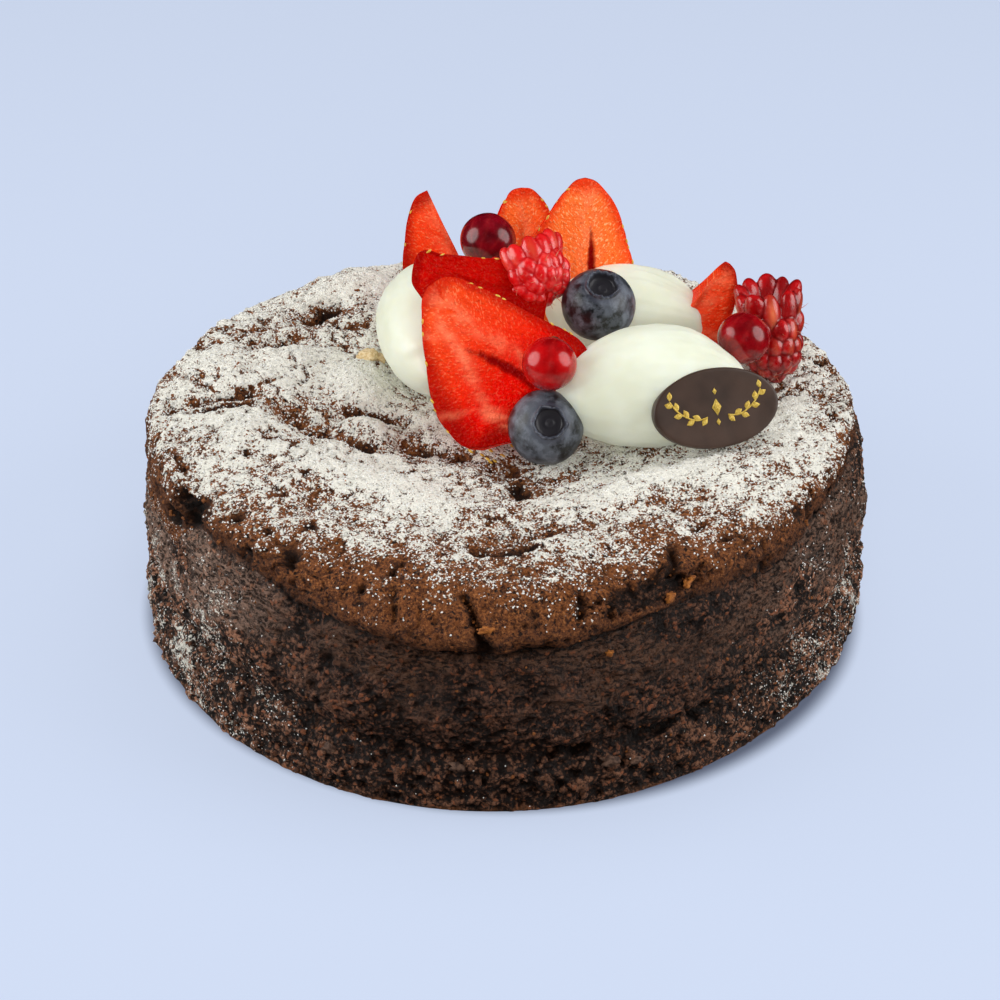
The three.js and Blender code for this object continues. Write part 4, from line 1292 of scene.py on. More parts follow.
def makeStrawberryFinish():
    # the flesh is clear enough to pass some light on from behind, which the glow stands for
    fixed = {"Subsurface Weight": 0.1, "Subsurface Scale": 0.002, "Emission Strength": 0.2}
    finish = Finish("strawberry", {**fixed, "Specular IOR Level": 0.06})
    marks = ("cut", "core", "rim", "pale", "tone", "pit")
    cut, core, rim, pale, tone, pit = (finish.mark(label) for label in marks)
    across = finish.node("ShaderNodeSeparateXYZ", {}, {"Vector": finish.mark("face", "Vector")})
    along = across.also("Y")
    # fibres run from the core up and out to the skin
    ray = abs(across) * 0.8 - along * 0.6
    run = abs(across) * 0.6 + along * 0.8
    halves = across.over(0) * 0.01
    streaks = finish.node("ShaderNodeCombineXYZ", {}, {0: ray, 1: run * 0.34, 2: halves})
    grains = finish.node("ShaderNodeCombineXYZ", {}, {0: ray, 1: run * 0.5, 2: halves})
    fibre = finish.noise(0.8, 2, 21, place=streaks)
    broad = finish.noise(2.4, 2, 22, place=streaks)
    grainAndGlint = finish.noise(0.42, 2, 24, place=grains)
    blot = finish.noise(3.5, 2, 23)
    ripe = finish.blend(tone, ink(230, 7, 0), ink(254, 110, 44))
    edge = finish.blend(tone, ink(148, 2, 0), ink(222, 30, 6))
    soft = (1 - rim * 0.8) * (tone * 0.9 + 0.12)
    flesh = finish.cover(
        ripe,
        ((rim * 1.2 - blot * 0.3).held() * (1 - tone * 0.2), edge),
        (fibre.eased(0.46, 0.72) * soft * 0.5, ink(248, 104, 40)),
        # painted glints: the tops of the grain are painted pale
        (grainAndGlint.eased(0.54, 0.64) * soft * 0.8, ink(255, 176, 120)),
        ((grainAndGlint + blot * 0.2).eased(0.46, 0.36) * 0.4, ink(188, 6, 1)),
        (pale * broad.eased(0.3, 0.6) * 0.6, ink(252, 140, 100)),
        (core, ink(132, 4, 3)),
    )
    skin = finish.cover(
        ink(186, 10, 4),
        (blot.eased(0.3, 0.7), ink(214, 26, 8)),
        # painted shade in the seed dimples
        (pit * 0.5, ink(140, 6, 4)),
    )
    colour = finish.blend(cut, skin, flesh)
    bead = finish.noise(0.62, 1, 25)
    height = cut * (fibre * 0.12 + grainAndGlint * 0.2 + bead * 0.68) + (1 - cut) * blot * 0.2
    return finish.wear(colour, 0.14 + grainAndGlint * 0.2, height, deep=1.1, glow=colour)


def strawberryLoop(wide, share, berry):
    # the section at one height: round the skin, then along the cut faces, with a mark where it is cut
    side = berry["side"]
    beside = np.linspace(0, 1, strawberryMesh["beside"] + 1)[:, None]
    gap = min(0.08 * berry["radius"], 0.6 * wide)
    start = math.acos(min(1, gap / wide)) if side < 0 else 0.0
    end = math.acos(max(-1, -gap / wide)) if side > 0 else math.pi
    angle = mix(start, end, np.linspace(0, 1, strawberryMesh["skin"]))
    reach = wide * strawberryWidth(angle, share)
    skin = np.stack([reach * np.cos(angle), reach * np.sin(angle) * berry["depth"]], 1)
    first, last = skin[0], skin[-1]
    if side > 0:
        last = np.array([last[0], 0])
    if side < 0:
        first = np.array([first[0], 0])
    face = last + (first - last) * np.linspace(0, 1, strawberryMesh["face"])[:, None]
    face[:, 1] = 0
    # the ends of the face are also the ends of the skin, so they come once
    parts = [skin, face[1:-1]]
    if side > 0:
        parts.insert(1, skin[-1] + (last - skin[-1]) * beside[1:])
    if side < 0:
        parts.append(first + (skin[0] - first) * beside[:-1])
    loop = np.concatenate(parts)
    return loop, (np.arange(len(loop)) >= len(skin)).astype(float)


def strawberrySeeds(berry, length):  # rows round the skin, each row set half a step on
    rows = max(4, int(1.05 * length / seedSizes["apartAlong"]))
    outline = np.array(strawberryOutline[1:])
    found = []
    for row in range(rows):
        share = 0.08 + 0.87 * (row + 0.5) / rows
        wide = np.interp(share, outline[:, 1], outline[:, 0]) * berry["radius"]
        count = max(3, int(round(math.pi * wide * 0.95 / seedSizes["apartRound"])))
        for one in range(count + 1):
            turn = math.pi * (one + 0.5 * (row % 2)) / count
            turn += 0.06 * math.sin(7 * one + 3 * row)
            if 0.12 < turn < math.pi - 0.12:
                found.append((share + 0.008 * math.sin(5 * one + row), turn))
        # some lie right at the cut edges
        if math.sin(5.3 * row + berry["radius"]) > -0.2:
            found.append((share + 0.02 * math.sin(4 * row), 0.03))
        if math.cos(3.7 * row + berry["radius"]) > -0.2:
            found.append((share + 0.02 * math.cos(5 * row), math.pi - 0.03))
    return np.array(found).T


def strawberryCore(berry, flat, length, seed):  # how deep the middle of the cut face lies, and how dark
    x, _, z = flat.T
    share = z / length
    radius, hollow = berry["radius"], berry["hollow"]
    bend = 0.05 * radius * np.sin(share * 7 + seed)
    if hollow:
        middle = berry["middle"] * length
        bend = bend + berry["aside"] - 0.15 * (z - middle)
        wide = 0.13 * hollow * mix(1.35, 0.6, smooth(0.2, 0.7, share))
        core = np.sqrt(((x - bend) / wide) ** 2 + ((z - middle) / hollow) ** 2)
        core = core + 0.25 * noise(flat, 1.6, seed)
        # the hollow is painted dark, as shade in it
        return 0.12 * hollow * np.sqrt(np.clip(1 - core, 0, 1)), 1 - smooth(0.5, 1.3, core)
    window = smooth(0.1, 0.25, share) * (1 - smooth(0.6, 0.8, share))
    core = np.abs(x - bend) / (0.07 * radius) + 0.3 * noise(flat, 2.0, seed)
    pith = 0.35 * bell(core, 1) * window
    return pith, pith


def strawberryVeins(berry, flat, length, seed):  # pale veins spread from beside the core to the skin
    bent = flat * np.array([1, 0, 1]) + 0.8 * noise(flat, 4, seed + 6)[:, None]
    bent = bent + 0.3 * noise(flat, 1.5, seed)[:, None]
    radius = berry["radius"]
    veins = np.zeros(len(flat))
    for path, wide, strength in berry["veins"]:
        away = awayFromPath(bent, [(along * radius, 0, up * length) for along, up in path])
        veins = np.maximum(veins, strength * bell(away, wide * radius))
    return veins


def strawberryRim(berry, x, share, wide):  # the darker flesh under the skin, the low end darkened as painted shade as far as the share dark widens it, and all of a dark slice
    dark = berry["dark"]
    outer = np.sqrt((x / np.maximum(wide, 0.5)) ** 2 + (0.25 * (share > 0.8)) ** 2)
    rim = np.maximum(smooth(0.5, 1.0, outer), smooth(0.82, 0.97, share))
    # painted shade: the low end of the slice darkens
    rim = np.maximum(rim, 1 - smooth(0.3 * dark, 0.06 + 0.9 * dark, share))
    return np.maximum(rim, dark)


def makeStrawberry(name, berry, material, seed):
    stalk, tip = np.array(berry["stalk"]), np.array(berry["tip"])
    length = np.linalg.norm(tip - stalk)
    axes = basisAlong(tip - stalk, -np.array(berry["face"]))
    radius, depth, side = berry["radius"], berry["depth"], berry["side"]
    even = np.linspace(0, 1, strawberryMesh["rings"] + 1)
    outline = [(w ** berry["blunt"] * radius, h * length) for w, h in strawberryOutline]
    line = curveThrough(outline, mix(0.5 - 0.5 * np.cos(math.pi * even), even, 0.6))
    rows, cuts = [], []
    for wide, height in line[1:-1]:
        loop, cut = strawberryLoop(max(wide, 0.05), height / length, berry)
        rows.append(np.column_stack([loop, np.full(len(loop), height)]))
        cuts.append(cut)
    rows, cuts = np.array(rows), np.array(cuts)
    for _ in range(3):  # the cut edges are a little rounded
        beside = np.roll(rows[:, :, :2], 1, 1) + np.roll(rows[:, :, :2], -1, 1)
        rows[:, :, :2] = 0.5 * rows[:, :, :2] + 0.25 * beside
        cuts = 0.6 * cuts + 0.2 * (np.roll(cuts, 1, 1) + np.roll(cuts, -1, 1))
    flat = rows.reshape(-1, 3)
    x, y, z = flat.T
    share = z / length

    def leaning(x, share):  # one side is fuller than the other
        sided = smooth(-0.35, 0.35, x / radius)
        return x * (1 + (mix(*berry["lean"], sided) - 1) * smooth(1.0, 0.8, share))

    def outward(x, y, along):
        return unit(np.column_stack([x, y / depth ** 2, 0.35 * along]))

    def spread(values):
        values = values.reshape(rows.shape[:2])
        return loftMark(np.concatenate([values[:1], values, values[-1:]]))

    cuts = cuts.reshape(-1)
    onFace = smooth(0.35, 0.9, cuts) * (1 - smooth(0.02, 0.2, y / radius))
    onSkin = 1 - smooth(0.1, 0.5, cuts)
    deep, core = strawberryCore(berry, flat, length, seed)
    y = y + onFace * (deep + 0.16 * layered(flat, 1.6, 2, seed + 3) + 0.25 * noise(flat, 6, seed + 5))
    rim = strawberryRim(berry, x, share, np.repeat(line[1:-1, 0], rows.shape[1]))
    # dimples in the skin, with a seed in each
    heights, turns = strawberrySeeds(berry, length)
    widths = np.interp(heights, line[3:, 1] / length, line[3:, 0]) * strawberryWidth(turns, heights)
    spots = ringOf(turns, widths, heights * length) * np.array([1, depth, 1])
    if side:
        spots = spots[spots[:, 0] * side > -0.06 * radius]
    skin = np.column_stack([x, y, z])
    pit = np.zeros(len(flat))
    for spot in spots:
        pit = np.maximum(pit, bell(np.linalg.norm(skin - spot, axis=1), seedSizes["dimpleWidth"]))
    pit *= onSkin
    sunk = seedSizes["dimple"] * pit + 0.12 * onSkin
    skin = skin - outward(x, y, (share - 0.35) * radius) * sunk[:, None]
    skin[:, 0] = leaning(skin[:, 0], share)
    heel = smooth(0.15, 0.85, -x / radius) * smooth(0.34, 0.0, share)
    skin[:, 2] += berry["heel"] * length * heel
    low, high = (np.tile(stalk + axes[:, 2] * line[one, 1], (1, rows.shape[1], 1)) for one in (0, -1))
    grid = np.concatenate([low, (skin @ axes.T + stalk).reshape(rows.shape), high])
    marks = {
        "cut": onFace + (1 - onSkin) * (1 - onFace),
        "core": core * onFace,
        "rim": rim,
        "pale": strawberryVeins(berry, flat, length, seed) * onFace,
        "pit": pit,
        # tone: each berry's own ripeness, with a fade along it that paints the slice lighter and more
        # orange towards the top, as painted light
        "tone": berry["tone"] + berry["fade"] * (share - 0.5),
    }
    marks = {label: spread(values) for label, values in marks.items()}
    marks["tone"] = np.clip(marks["tone"], 0, 1)
    marks["face"] = np.stack([spread(x * mm), spread(z * mm), spread(0 * x)], 1)
    settleMesh(name + "_flesh", "strawberry", loft(grid), material, marks, name)
    aims = outward(spots[:, 0], spots[:, 1], spots[:, 2] - 0.35 * length)
    places = spots - aims * (0.75 * seedSizes["dimple"])
    places[:, 0] = leaning(places[:, 0], places[:, 2] / length)
    sizes = np.tile(seedSizes["size"], (len(spots), 1)) / 2
    sizes = sizes * np.random.default_rng(seed).uniform(0.85, 1.15, (len(spots), 1))
    return places @ axes.T + stalk, aims @ axes.T, np.tile(axes[:, 2], (len(spots), 1)), sizes


def makeStrawberries():
    material = makeStrawberryFinish()
    seeds = []
    for one, (name, berry) in enumerate(strawberrySizes.items()):
        seeds.append(makeStrawberry(name, {**plainStrawberry, **berry}, material, 100 + 10 * one))
    places, aims, sides, sizes = (np.concatenate(parts) for parts in zip(*seeds))
    # a seed is a little drop, pointed towards the berry's tip
    turn = turnsOf(seedSizes["sides"])
    rows = []
    for ring in range(seedSizes["rings"] + 1):
        share = ring / seedSizes["rings"]
        wide = math.sin(math.pi * share) ** 0.8 * (1 - 0.35 * share)
        rows.append(np.roll(ringOf(turn, wide, 2 * share - 1), 1, axis=1))
    shape = unitShape("seedShape", rows)
    finish = mottledFinish("strawberrySeed", (232, 196, 84), (206, 150, 46), 0.6, 0.4, 0.05)
    settle(setShapes("strawberrySeeds", shape, places, aims, sides, sizes * mm, finish), "strawberry")
    clearAway(shape)
    print("strawberries done")


# the raspberries
raspberrySizes = {
    "raspberry_middle": {"at": (6.2, 14.5, 69.3), "tip": (0.42, -0.7, -0.58), "radius": 7.8, "length": 12.8,
                         "drupelet": 2.9, "long": 1.2, "open": 0.9, "ripe": 0.0, "slant": 0.1},
    "raspberry_right": {"at": (56, 14.2, 56.2), "tip": (0.1, -0.45, -0.89), "radius": 7.0, "length": 20,
                        "drupelet": 3.6, "long": 1.1, "open": 1.0, "ripe": 1.0, "slant": 0.5},
}
raspberrySkin = [(0.86, 0), (1, 0.2), (0.98, 0.48), (0.72, 0.82), (0, 1)]
raspberryMesh = {"fineness": 0.23, "rounds": 3, "bodyRise": 1.3, "bodySides": 48, "rings": 12, "sides": 20}
def makeRaspberryFinish(name, ripe):
    fixed = {"Subsurface Weight": 0.3, "Subsurface Scale": 0.003, "Subsurface Radius": (1.0, 0.2, 0.2)}
    finish = Finish(name, {**fixed, "Coat Weight": 0.65, "Coat Roughness": 0.12})
    valley, seed, rim = (finish.mark(label) for label in ("valley", "seed", "rim"))
    blot = finish.noise(3.2, 2, 31)
    fine = finish.noise(0.8, 3, 32, rough=0.65)
    colour = finish.cover(
        inkBetween((202, 5, 8), (132, 2, 6), ripe),
        (blot.eased(0.3, 0.7), inkBetween((228, 22, 28), (184, 8, 14), ripe)),
        # painted shade in the valleys between the drupelets
        (valley * 0.55, inkBetween((180, 3, 14), (78, 1, 6), ripe)),
        (seed * (0.25 + 0.45 * ripe), ink(240, 130, 84)),
        # painted sheen: the drupelets' edges are painted pale pink
        (rim * fine.eased(0.42, 0.6) * (0.36 - 0.2 * ripe), ink(236, 116, 112)),
    )
    return finish.wear(colour, 0.2 + fine * 0.2, fine * 0.4 + blot * 0.6, deep=0.4, strength=0.7)


def fuse(name, parts):  # one skin over parts that run into each other
    points, faces = joined(parts)
    piece = objectOf(name, meshOf(name, points / mm, faces))
    remesh = piece.modifiers.new("remesh", "REMESH")
    remesh.mode = "VOXEL"
    remesh.voxel_size = raspberryMesh["fineness"]
    ease = piece.modifiers.new("ease", "SMOOTH")
    ease.factor = 0.5
    ease.iterations = raspberryMesh["rounds"]
    mesh = evaluated(piece)
    clearAway(piece)
    return readMesh(mesh)


def raspberryBody(berry):  # the flesh under the drupelets, with the hollow that the core left
    radius, length, rise = berry["radius"], berry["length"], raspberryMesh["bodyRise"]
    skin = [(w * radius - rise, (0.1 + 0.84 * h) * length) for w, h in raspberrySkin[:-1]]
    skin = curveThrough(skin + [(0, 0.93 * length)], np.linspace(0, 1, 34))
    hollow = [(0.01, 0.6 * length), (0.34 * radius, 0.45 * length), (0.58 * radius, 0.12 * length)]
    outline = np.concatenate([curveThrough(hollow, np.linspace(0, 1, 10)), skin])
    turn = turnsOf(raspberryMesh["bodySides"])
    return loft([ringOf(turn, wide, high - length / 2) for wide, high in outline])


def raspberryDrupelets(berry, draw):
    # rows from the open end to the tip: the places, aims, sides, sizes, and how open the row is
    radius, length, size = berry["radius"], berry["length"], berry["drupelet"]
    fine = curveThrough([(w * radius, h * length) for w, h in raspberrySkin], np.linspace(0, 1, 200))
    run = runOf(fine)
    found = []
    along, row = 0.0, 0
    while along < run[-1] - 0.25 * size:
        opened = berry["open"] * (1 - smooth(0.02, 0.35, along / run[-1]))
        tall = size * berry["long"] * (1 + 0.7 * opened)
        at = min(along + 0.5 * tall, run[-1])
        wide, high = (np.interp(at, run, fine[:, axis]) for axis in (0, 1))
        slope = [np.interp(at + step, run, fine[:, axis]) for axis in (0, 1) for step in (-0.4, 0.4)]
        out = unit(np.array([slope[3] - slope[2], slope[0] - slope[1]]))
        out = unit(out + opened * np.array([0, 0.5]))
        count = max(1, int(round(turnRound * wide / (size * (1 + 0.25 * opened)))))
        for one in range(count):
            turned = turnRound * (one + 0.5 * (row % 2)) / count + draw.uniform(-0.13, 0.13)
            radial = np.array([math.cos(turned), math.sin(turned), 0])
            tangent = np.array([-math.sin(turned), math.cos(turned), 0])
            aim = unit(radial * out[0] + np.array([0, 0, out[1]]) + draw.uniform(-0.22, 0.22, 3))
            bulge = size * 0.5 * draw.uniform(0.92, 1.08)
            shift = np.array([0, 0, draw.uniform(-0.12, 0.12) * tall])
            place = radial * wide + np.array([0, 0, high - length / 2]) - aim * bulge + shift
            half = math.pi * max(wide, 0.3 * size) / max(count, 2)
            sizes = [half * draw.uniform(0.95, 1.2), tall * draw.uniform(0.52, 0.66), bulge]
            found.append((place, aim, tangent, sizes, opened))
        along += tall * 0.82
        row += 1
    return [np.array(part, float) for part in zip(*found)]


def drupeletMarks(points, places, aims, sides, sizes, opens):
    across = np.cross(aims, sides)
    sides = unit(np.cross(across, aims))
    across = unit(np.cross(aims, sides))
    away = points[:, None] - places[None]
    own = np.stack([(away * part).sum(2) for part in (sides, across, aims)], 2) / sizes[None]
    far = np.linalg.norm(own, axis=2)
    order = np.argsort(far, axis=1)[:, :2]
    line = np.arange(len(points))
    first, second = far[line, order[:, 0]], far[line, order[:, 1]]
    nearest = own[line, order[:, 0]]
    inner = smooth(1.15, 1.5, first)
    lucky = hashed(order[:, :1].repeat(3, 1), 5)
    streak = np.exp(-((nearest[:, 0] / 0.4) ** 2) - ((nearest[:, 1] / 0.62) ** 2)) * (nearest[:, 2] > 0)
    edge = smooth(0.1, 0.25, second - first) * (1 - smooth(0.3, 0.5, second - first))
    return {
        # valley: painted shade between the drupelets
        "valley": np.clip(1 - smooth(0.02, 0.3, second - first) + inner, 0, 1),
        "seed": streak * smooth(0.45, 0.6, lucky) * (0.3 + 0.7 * opens[order[:, 0]]),
        # rim: painted sheen along the drupelets' edges
        "rim": edge * (1 - inner),
    }


def makeRaspberry(name, berry, material):
    axes = basisAlong(berry["tip"], (1, 0, 0))
    middle = np.array(berry["at"])
    draw = np.random.default_rng(len(name))
    toViewer = axes.T @ np.array([0, -0.85, 0.53])

    def slanted(points):  # the open end slopes down to the shown side
        share = np.clip(0.5 + points[:, 2] / berry["length"], 0, 1)
        lift = berry["slant"] * (points[:, :2] @ toViewer[:2]) * (1 - share)
        return points + lift[:, None] * np.array([0, 0, 1])

    bodyPoints, bodyFaces = raspberryBody(berry)
    places, aims, sides, sizes, opens = raspberryDrupelets(berry, draw)
    places = slanted(places)
    turn = turnsOf(raspberryMesh["sides"])
    tilts = [math.pi * step / raspberryMesh["rings"] for step in range(raspberryMesh["rings"] + 1)]
    shape = unitShape("drupelet", [ringOf(turn, math.sin(tilt) ** 0.9, -math.cos(tilt)) for tilt in tilts])
    drupelets = setShapes(name + "Drupelets", shape, places, aims, sides, sizes * mm, material)
    parts = [(slanted(bodyPoints), bodyFaces), readMesh(drupelets.data, 1 / mm)]
    clearAway(shape, drupelets)
    points, faces = fuse(name + "Rough", parts)
    marks = drupeletMarks(points, places, aims, sides, sizes, opens)
    settleMesh(name + "_berry", "raspberry", (points @ axes.T + middle, faces), material, marks, name)
    aims = aims @ axes.T
    return places @ axes.T + middle + aims * sizes[:, 2:] * 0.95, aims, draw


hairSizes = {"rings": 5, "sides": 4, "width": 0.045, "length": (1.3, 2.4), "tries": 2, "misses": 0.55}


def makeHairs(berries):  # a thin dry thread stands on most drupelets
    steps = hairSizes["rings"]
    rows = []
    for step in range(steps + 1):
        share = step / steps
        wide = hairSizes["width"] * (1 - 0.7 * share) if 0 < step < steps else 0.0
        centre = np.array([0.35 * share ** 2, 0.1 * math.sin(3 * share), share])
        rows.append(centre + ringOf(turnsOf(hairSizes["sides"]), wide, 0))
    shape = unitShape("hairShape", rows)
    found = []
    for tips, outward, draw in berries:
        for tip, out in zip(tips, outward):
            for _ in range(hairSizes["tries"]):
                if draw.uniform() < hairSizes["misses"]:
                    continue
                place = tip - out * 0.25 + draw.uniform(-0.3, 0.3, 3)
                aim = unit(out + draw.uniform(-0.6, 0.6, 3))
                side = draw.uniform(-1, 1, 3)
                found.append((place, aim, side, np.ones(3) * draw.uniform(*hairSizes["length"])))
    places, aims, sides, sizes = (np.array(part) for part in zip(*found))
    finish = mottledFinish("raspberryHair", (226, 150, 120), (190, 90, 70), 0.8, 0.5, 0.02)
    settle(setShapes("raspberryHairs", shape, places, aims, sides, sizes * mm, finish), "raspberry")
    clearAway(shape)


def makeRaspberries():
    made = []
    for name, berry in raspberrySizes.items():
        made.append(makeRaspberry(name, berry, makeRaspberryFinish(name + "Finish", berry["ripe"])))
    makeHairs(made)
    print("raspberries done")


# the round berries
currantSizes = {
    "currant_front": {"at": (8.9, -11.5, 63.3), "radius": 5.6, "stalk": (0.2, 0.5, 0.84), "ripe": 0.0},
    "currant_back": {"at": (-4, 31.8, 69.2), "radius": 6, "stalk": (0.3, 0.9, 0.3), "ripe": 1.0},
    "currant_right": {"at": (49.3, 5.4, 60.6), "radius": 5.5, "stalk": (0.5, 0.5, 0.7), "ripe": 0.6},
}
blueberrySizes = {
    "blueberry_low": {"at": (8.4, -14.1, 50), "radius": 7.7, "crown": (0.1, -0.78, 0.62)},
    "blueberry_high": {"at": (19.2, 11, 65), "radius": 7.7, "crown": (0.1, -0.42, 0.9)},
}


def makeCurrantFinish(name, ripe):
    fixed = {"Subsurface Weight": 0.2, "Subsurface Scale": 0.003, "Subsurface Radius": (1.0, 0.2, 0.15)}
    fixed.update({"Coat Weight": 0.9, "Coat Roughness": 0.16, "Specular IOR Level": 0.1})
    finish = Finish(name, fixed)
    cap = finish.mark("cap")
    colour = finish.cover(
        inkBetween((136, 2, 6), (78, 3, 12), ripe),
        (finish.noise(4, 2, 41).eased(0.3, 0.7), inkBetween((190, 8, 12), (126, 6, 22), ripe)),
        (finish.mark("vein") * 0.1, ink(226, 70, 64)),
        (cap, ink(92, 52, 34)),
    )
    fine = finish.noise(0.8, 2, 42)
    return finish.wear(colour, cap * 0.4 + 0.24 + fine * 0.06, fine, deep=0.03, strength=0.3)


def makeCurrant(name, berry):
    axes = basisAlong(berry["stalk"], (1, 0, 0))
    turn = turnsOf(64)
    rows, veins, caps = [], [], []
    for tilt in [*np.linspace(-90, 81, 46), 84]:
        wide, high = math.cos(tilt * deg), 0.97 * math.sin(tilt * deg)
        lump = 1 + 0.006 * np.cos(5 * turn) * wide
        if tilt > 82:  # the dried stalk end stands up as a small ragged stub
            wide, high = 0.07, 1.0
            lump = 1 + 0.25 * np.cos(4 * turn)
        rows.append(ringOf(turn, wide * lump, high))
        veins.append(np.abs(np.cos(5 * turn + 0.3 * math.sin(tilt * deg * 3))) ** 30 * (tilt < 82))
        caps.append(np.full(64, float(tilt > 78)))
    rows.append(ringOf(turn, 0, 1))
    grid = np.array(rows) * berry["radius"] @ axes.T + np.array(berry["at"])
    marks = {"vein": loftMark([*veins, np.zeros(64)]), "cap": loftMark([*caps, np.ones(64)])}
    material = makeCurrantFinish(name + "Finish", berry["ripe"])
    settleMesh(name + "_berry", "currant", loft(grid), material, marks, name)


def makeBlueberryFinish():
    finish = Finish("blueberry", {"Specular IOR Level": 0.4, "Coat Weight": 0.2, "Coat Roughness": 0.28})
    wide, fine = finish.noise(4.2, 3, 51), finish.noise(0.5, 2, 52)
    worn = finish.noise(1.6, 4, 53, rough=0.7)
    bloom = (wide.eased(0.43, 0.6) * 0.6 + worn.eased(0.44, 0.6) * 0.4 + fine * 0.06).held()
    colour = finish.cover(
        ink(5, 6, 9),
        (bloom, ink(101, 107, 117)),
        (finish.mark("crown") * 0.6, ink(70, 73, 86)),
        (finish.mark("pit"), ink(42, 40, 45)),
    )
    return finish.wear(colour, bloom * 0.25 + 0.32, wide * 0.5 + fine * 0.5, deep=0.1, strength=0.5)


# the crown: a raised rim of five worn lobes round a small dark pit, by radius, height and raggedness
crownLine = [(0.45, 0.865, 0.02), (0.455, 0.9, 0.06), (0.45, 0.925, 0.1), (0.425, 0.935, 0.11),
             (0.4, 0.925, 0.1), (0.385, 0.89, 0.08), (0.375, 0.83, 0.05), (0.365, 0.76, 0.02),
             (0.33, 0.715, 0), (0.24, 0.7, 0), (0.15, 0.7, 0), (0.12, 0.725, 0), (0.09, 0.725, 0),
             (0.05, 0.7, 0), (0, 0.7, 0)]


def makeBlueberry(name, berry, material, seed):
    axes = basisAlong(berry["crown"], (1, 0, 0))
    turn = turnsOf(110)
    star = np.cos(5 * turn + 0.5 * np.sin(3 * turn))
    ragged = noise(ringOf(turn, 3, 0), 0.9, seed + 2)
    rows, crowns, pits = [], [], []
    for tilt in np.linspace(-90, 62, 60):
        rows.append(ringOf(turn, math.cos(tilt * deg), 0.93 * math.sin(tilt * deg)))
        crowns.append(0 * turn + smooth(50, 62, tilt))
        pits.append(0 * turn)
    for wide, high, lobe in crownLine:
        reach = wide * (1 + lobe * (0.5 * star + 1.1 * ragged))
        rows.append(ringOf(turn, reach, high + lobe * (0.35 * star + ragged)))
        crowns.append(0 * turn + float(high > 0.88))
        pits.append(0 * turn + smooth(0.91, 0.82, high))
    flat = np.array(rows).reshape(-1, 3) * berry["radius"]
    flat = flat * (1 + 0.018 * noise(flat, 5, seed) + 0.006 * noise(flat, 1.5, seed + 1))[:, None]
    grid = (flat @ axes.T + np.array(berry["at"])).reshape(len(rows), -1, 3)
    marks = {"crown": loftMark(crowns), "pit": loftMark(pits)}
    settleMesh(name + "_berry", "blueberry", loft(grid), material, marks, name)


# the plaque
plaqueSizes = {
    "at": (42.4, -15.9, 56),
    "face": (0.27, -0.82, 0.5),
    "half": (13.4, 8.1),
    "thick": 2.2,
    "round": 0.5,
    "sides": 160,
    "dip": 0.1,  # how much lower the middle of the face lies
    "gold": 0.14,  # how thick the gold lies
    "goldRoot": 0.15,  # how deep it goes into the chocolate
    "twig": [(2.2, -1.6), (4.4, -1.9), (6.8, -0.9), (8.8, 0.9), (9.8, 2.6)],
    "twigWidth": 0.15,
    "leaves": 8,
    "leafSpread": 0.62,
    "leaf": (2.1, 0.6),
    "diamonds": [(0, 0.2, 1.0, 1.7), (0, 3.4, 0.45, 0.7), (0, -2.8, 0.45, 0.7)],
}


def makeChocolateFinish():
    finish = Finish("chocolate", {"Coat Weight": 0.15, "Coat Roughness": 0.3, "Specular IOR Level": 0.45})
    wide, fine = finish.noise(7, 2, 61), finish.noise(0.7, 3, 62)
    colour = finish.blend(wide.eased(0.3, 0.7), ink(52, 37, 29), ink(70, 51, 41))
    return finish.wear(colour, 0.36 + fine * 0.12, wide * 0.7 + fine * 0.3, deep=0.15, strength=0.4)


def makeGoldFinish():
    finish = Finish("goldPowder", {"Metallic": 0.35, "Specular IOR Level": 0.5})
    fine = finish.noise(0.35, 2, 63)
    colour = finish.blend(fine.eased(0.35, 0.65), ink(196, 158, 58), ink(226, 196, 96))
    return finish.wear(colour, 0.35 + fine * 0.2, fine, deep=0.06, strength=0.8)


def makeLeafTree():  # leaves along a line, by turns to one side and the other
    kinds = {"Leaf": "Object", "Count": "Int", "Spread": "Float", "Material": "Material"}
    graph, wires = treeOf("leavesAlong", kinds)
    curve = graph.node("GeometryNodeMeshToCurve", {}, {"Mesh": wires["Geometry"]})
    sockets = {"Curve": curve, "Count": wires["Count"]}
    points = graph.node("GeometryNodeCurveToPoints", {"mode": "COUNT"}, sockets)
    side = graph.node("GeometryNodeInputIndex") % 2 * 2 - 1
    lean = graph.node("ShaderNodeCombineXYZ", {}, {2: side * wires["Spread"]})
    align = {"axis": "X", "pivot_axis": "Z"}
    flat = graph.node("FunctionNodeAlignRotationToVector", align, {"Vector": points.also("Tangent")})
    sockets = {"Rotation": flat, "Rotate By": lean}
    turned = graph.node("FunctionNodeRotateRotation", {"rotation_space": "LOCAL"}, sockets)
    leaf = graph.node("GeometryNodeObjectInfo", {}, {"Object": wires["Leaf"]}, out="Geometry")
    sockets = {"Points": points, "Instance": leaf, "Rotation": turned}
    return closeTree(graph, sockets, wires["Material"])


def leafShape():  # a low cushion over a pointed outline, closed below
    sizes = plaqueSizes
    turn = turnsOf(20)
    outline = np.stack([sizes["leaf"][0] / 2 * np.cos(turn), sizes["leaf"][1] * np.sin(turn) ** 3], 1)
    high, root = sizes["gold"], sizes["goldRoot"]
    levels = [(0.0, -root), (0.97, -root), (1.0, 0.0), (0.93, 0.6 * high), (0.6, high), (0.0, high)]
    points, faces = loft([np.column_stack([outline * wide, np.full(20, level)]) for wide, level in levels])
    points[:, 0] += sizes["leaf"][0] / 2
    return objectOf("leafShape", meshOf("leafShape", points, faces))


def ribbon(loop):  # a thin flat plate on a closed outline
    loop = np.asarray(loop, float)
    count = len(loop)
    levels = (-plaqueSizes["goldRoot"], plaqueSizes["gold"])
    points = np.concatenate([np.column_stack([loop, np.full(count, level)]) for level in levels])
    quads = [[one, one + 1, count - 2 - one, count - 1 - one] for one in range(count // 2 - 1)]
    above = [[corner + count for corner in quad] for quad in quads]
    return points, ringFaces(2, count) + [quad[::-1] for quad in quads] + above


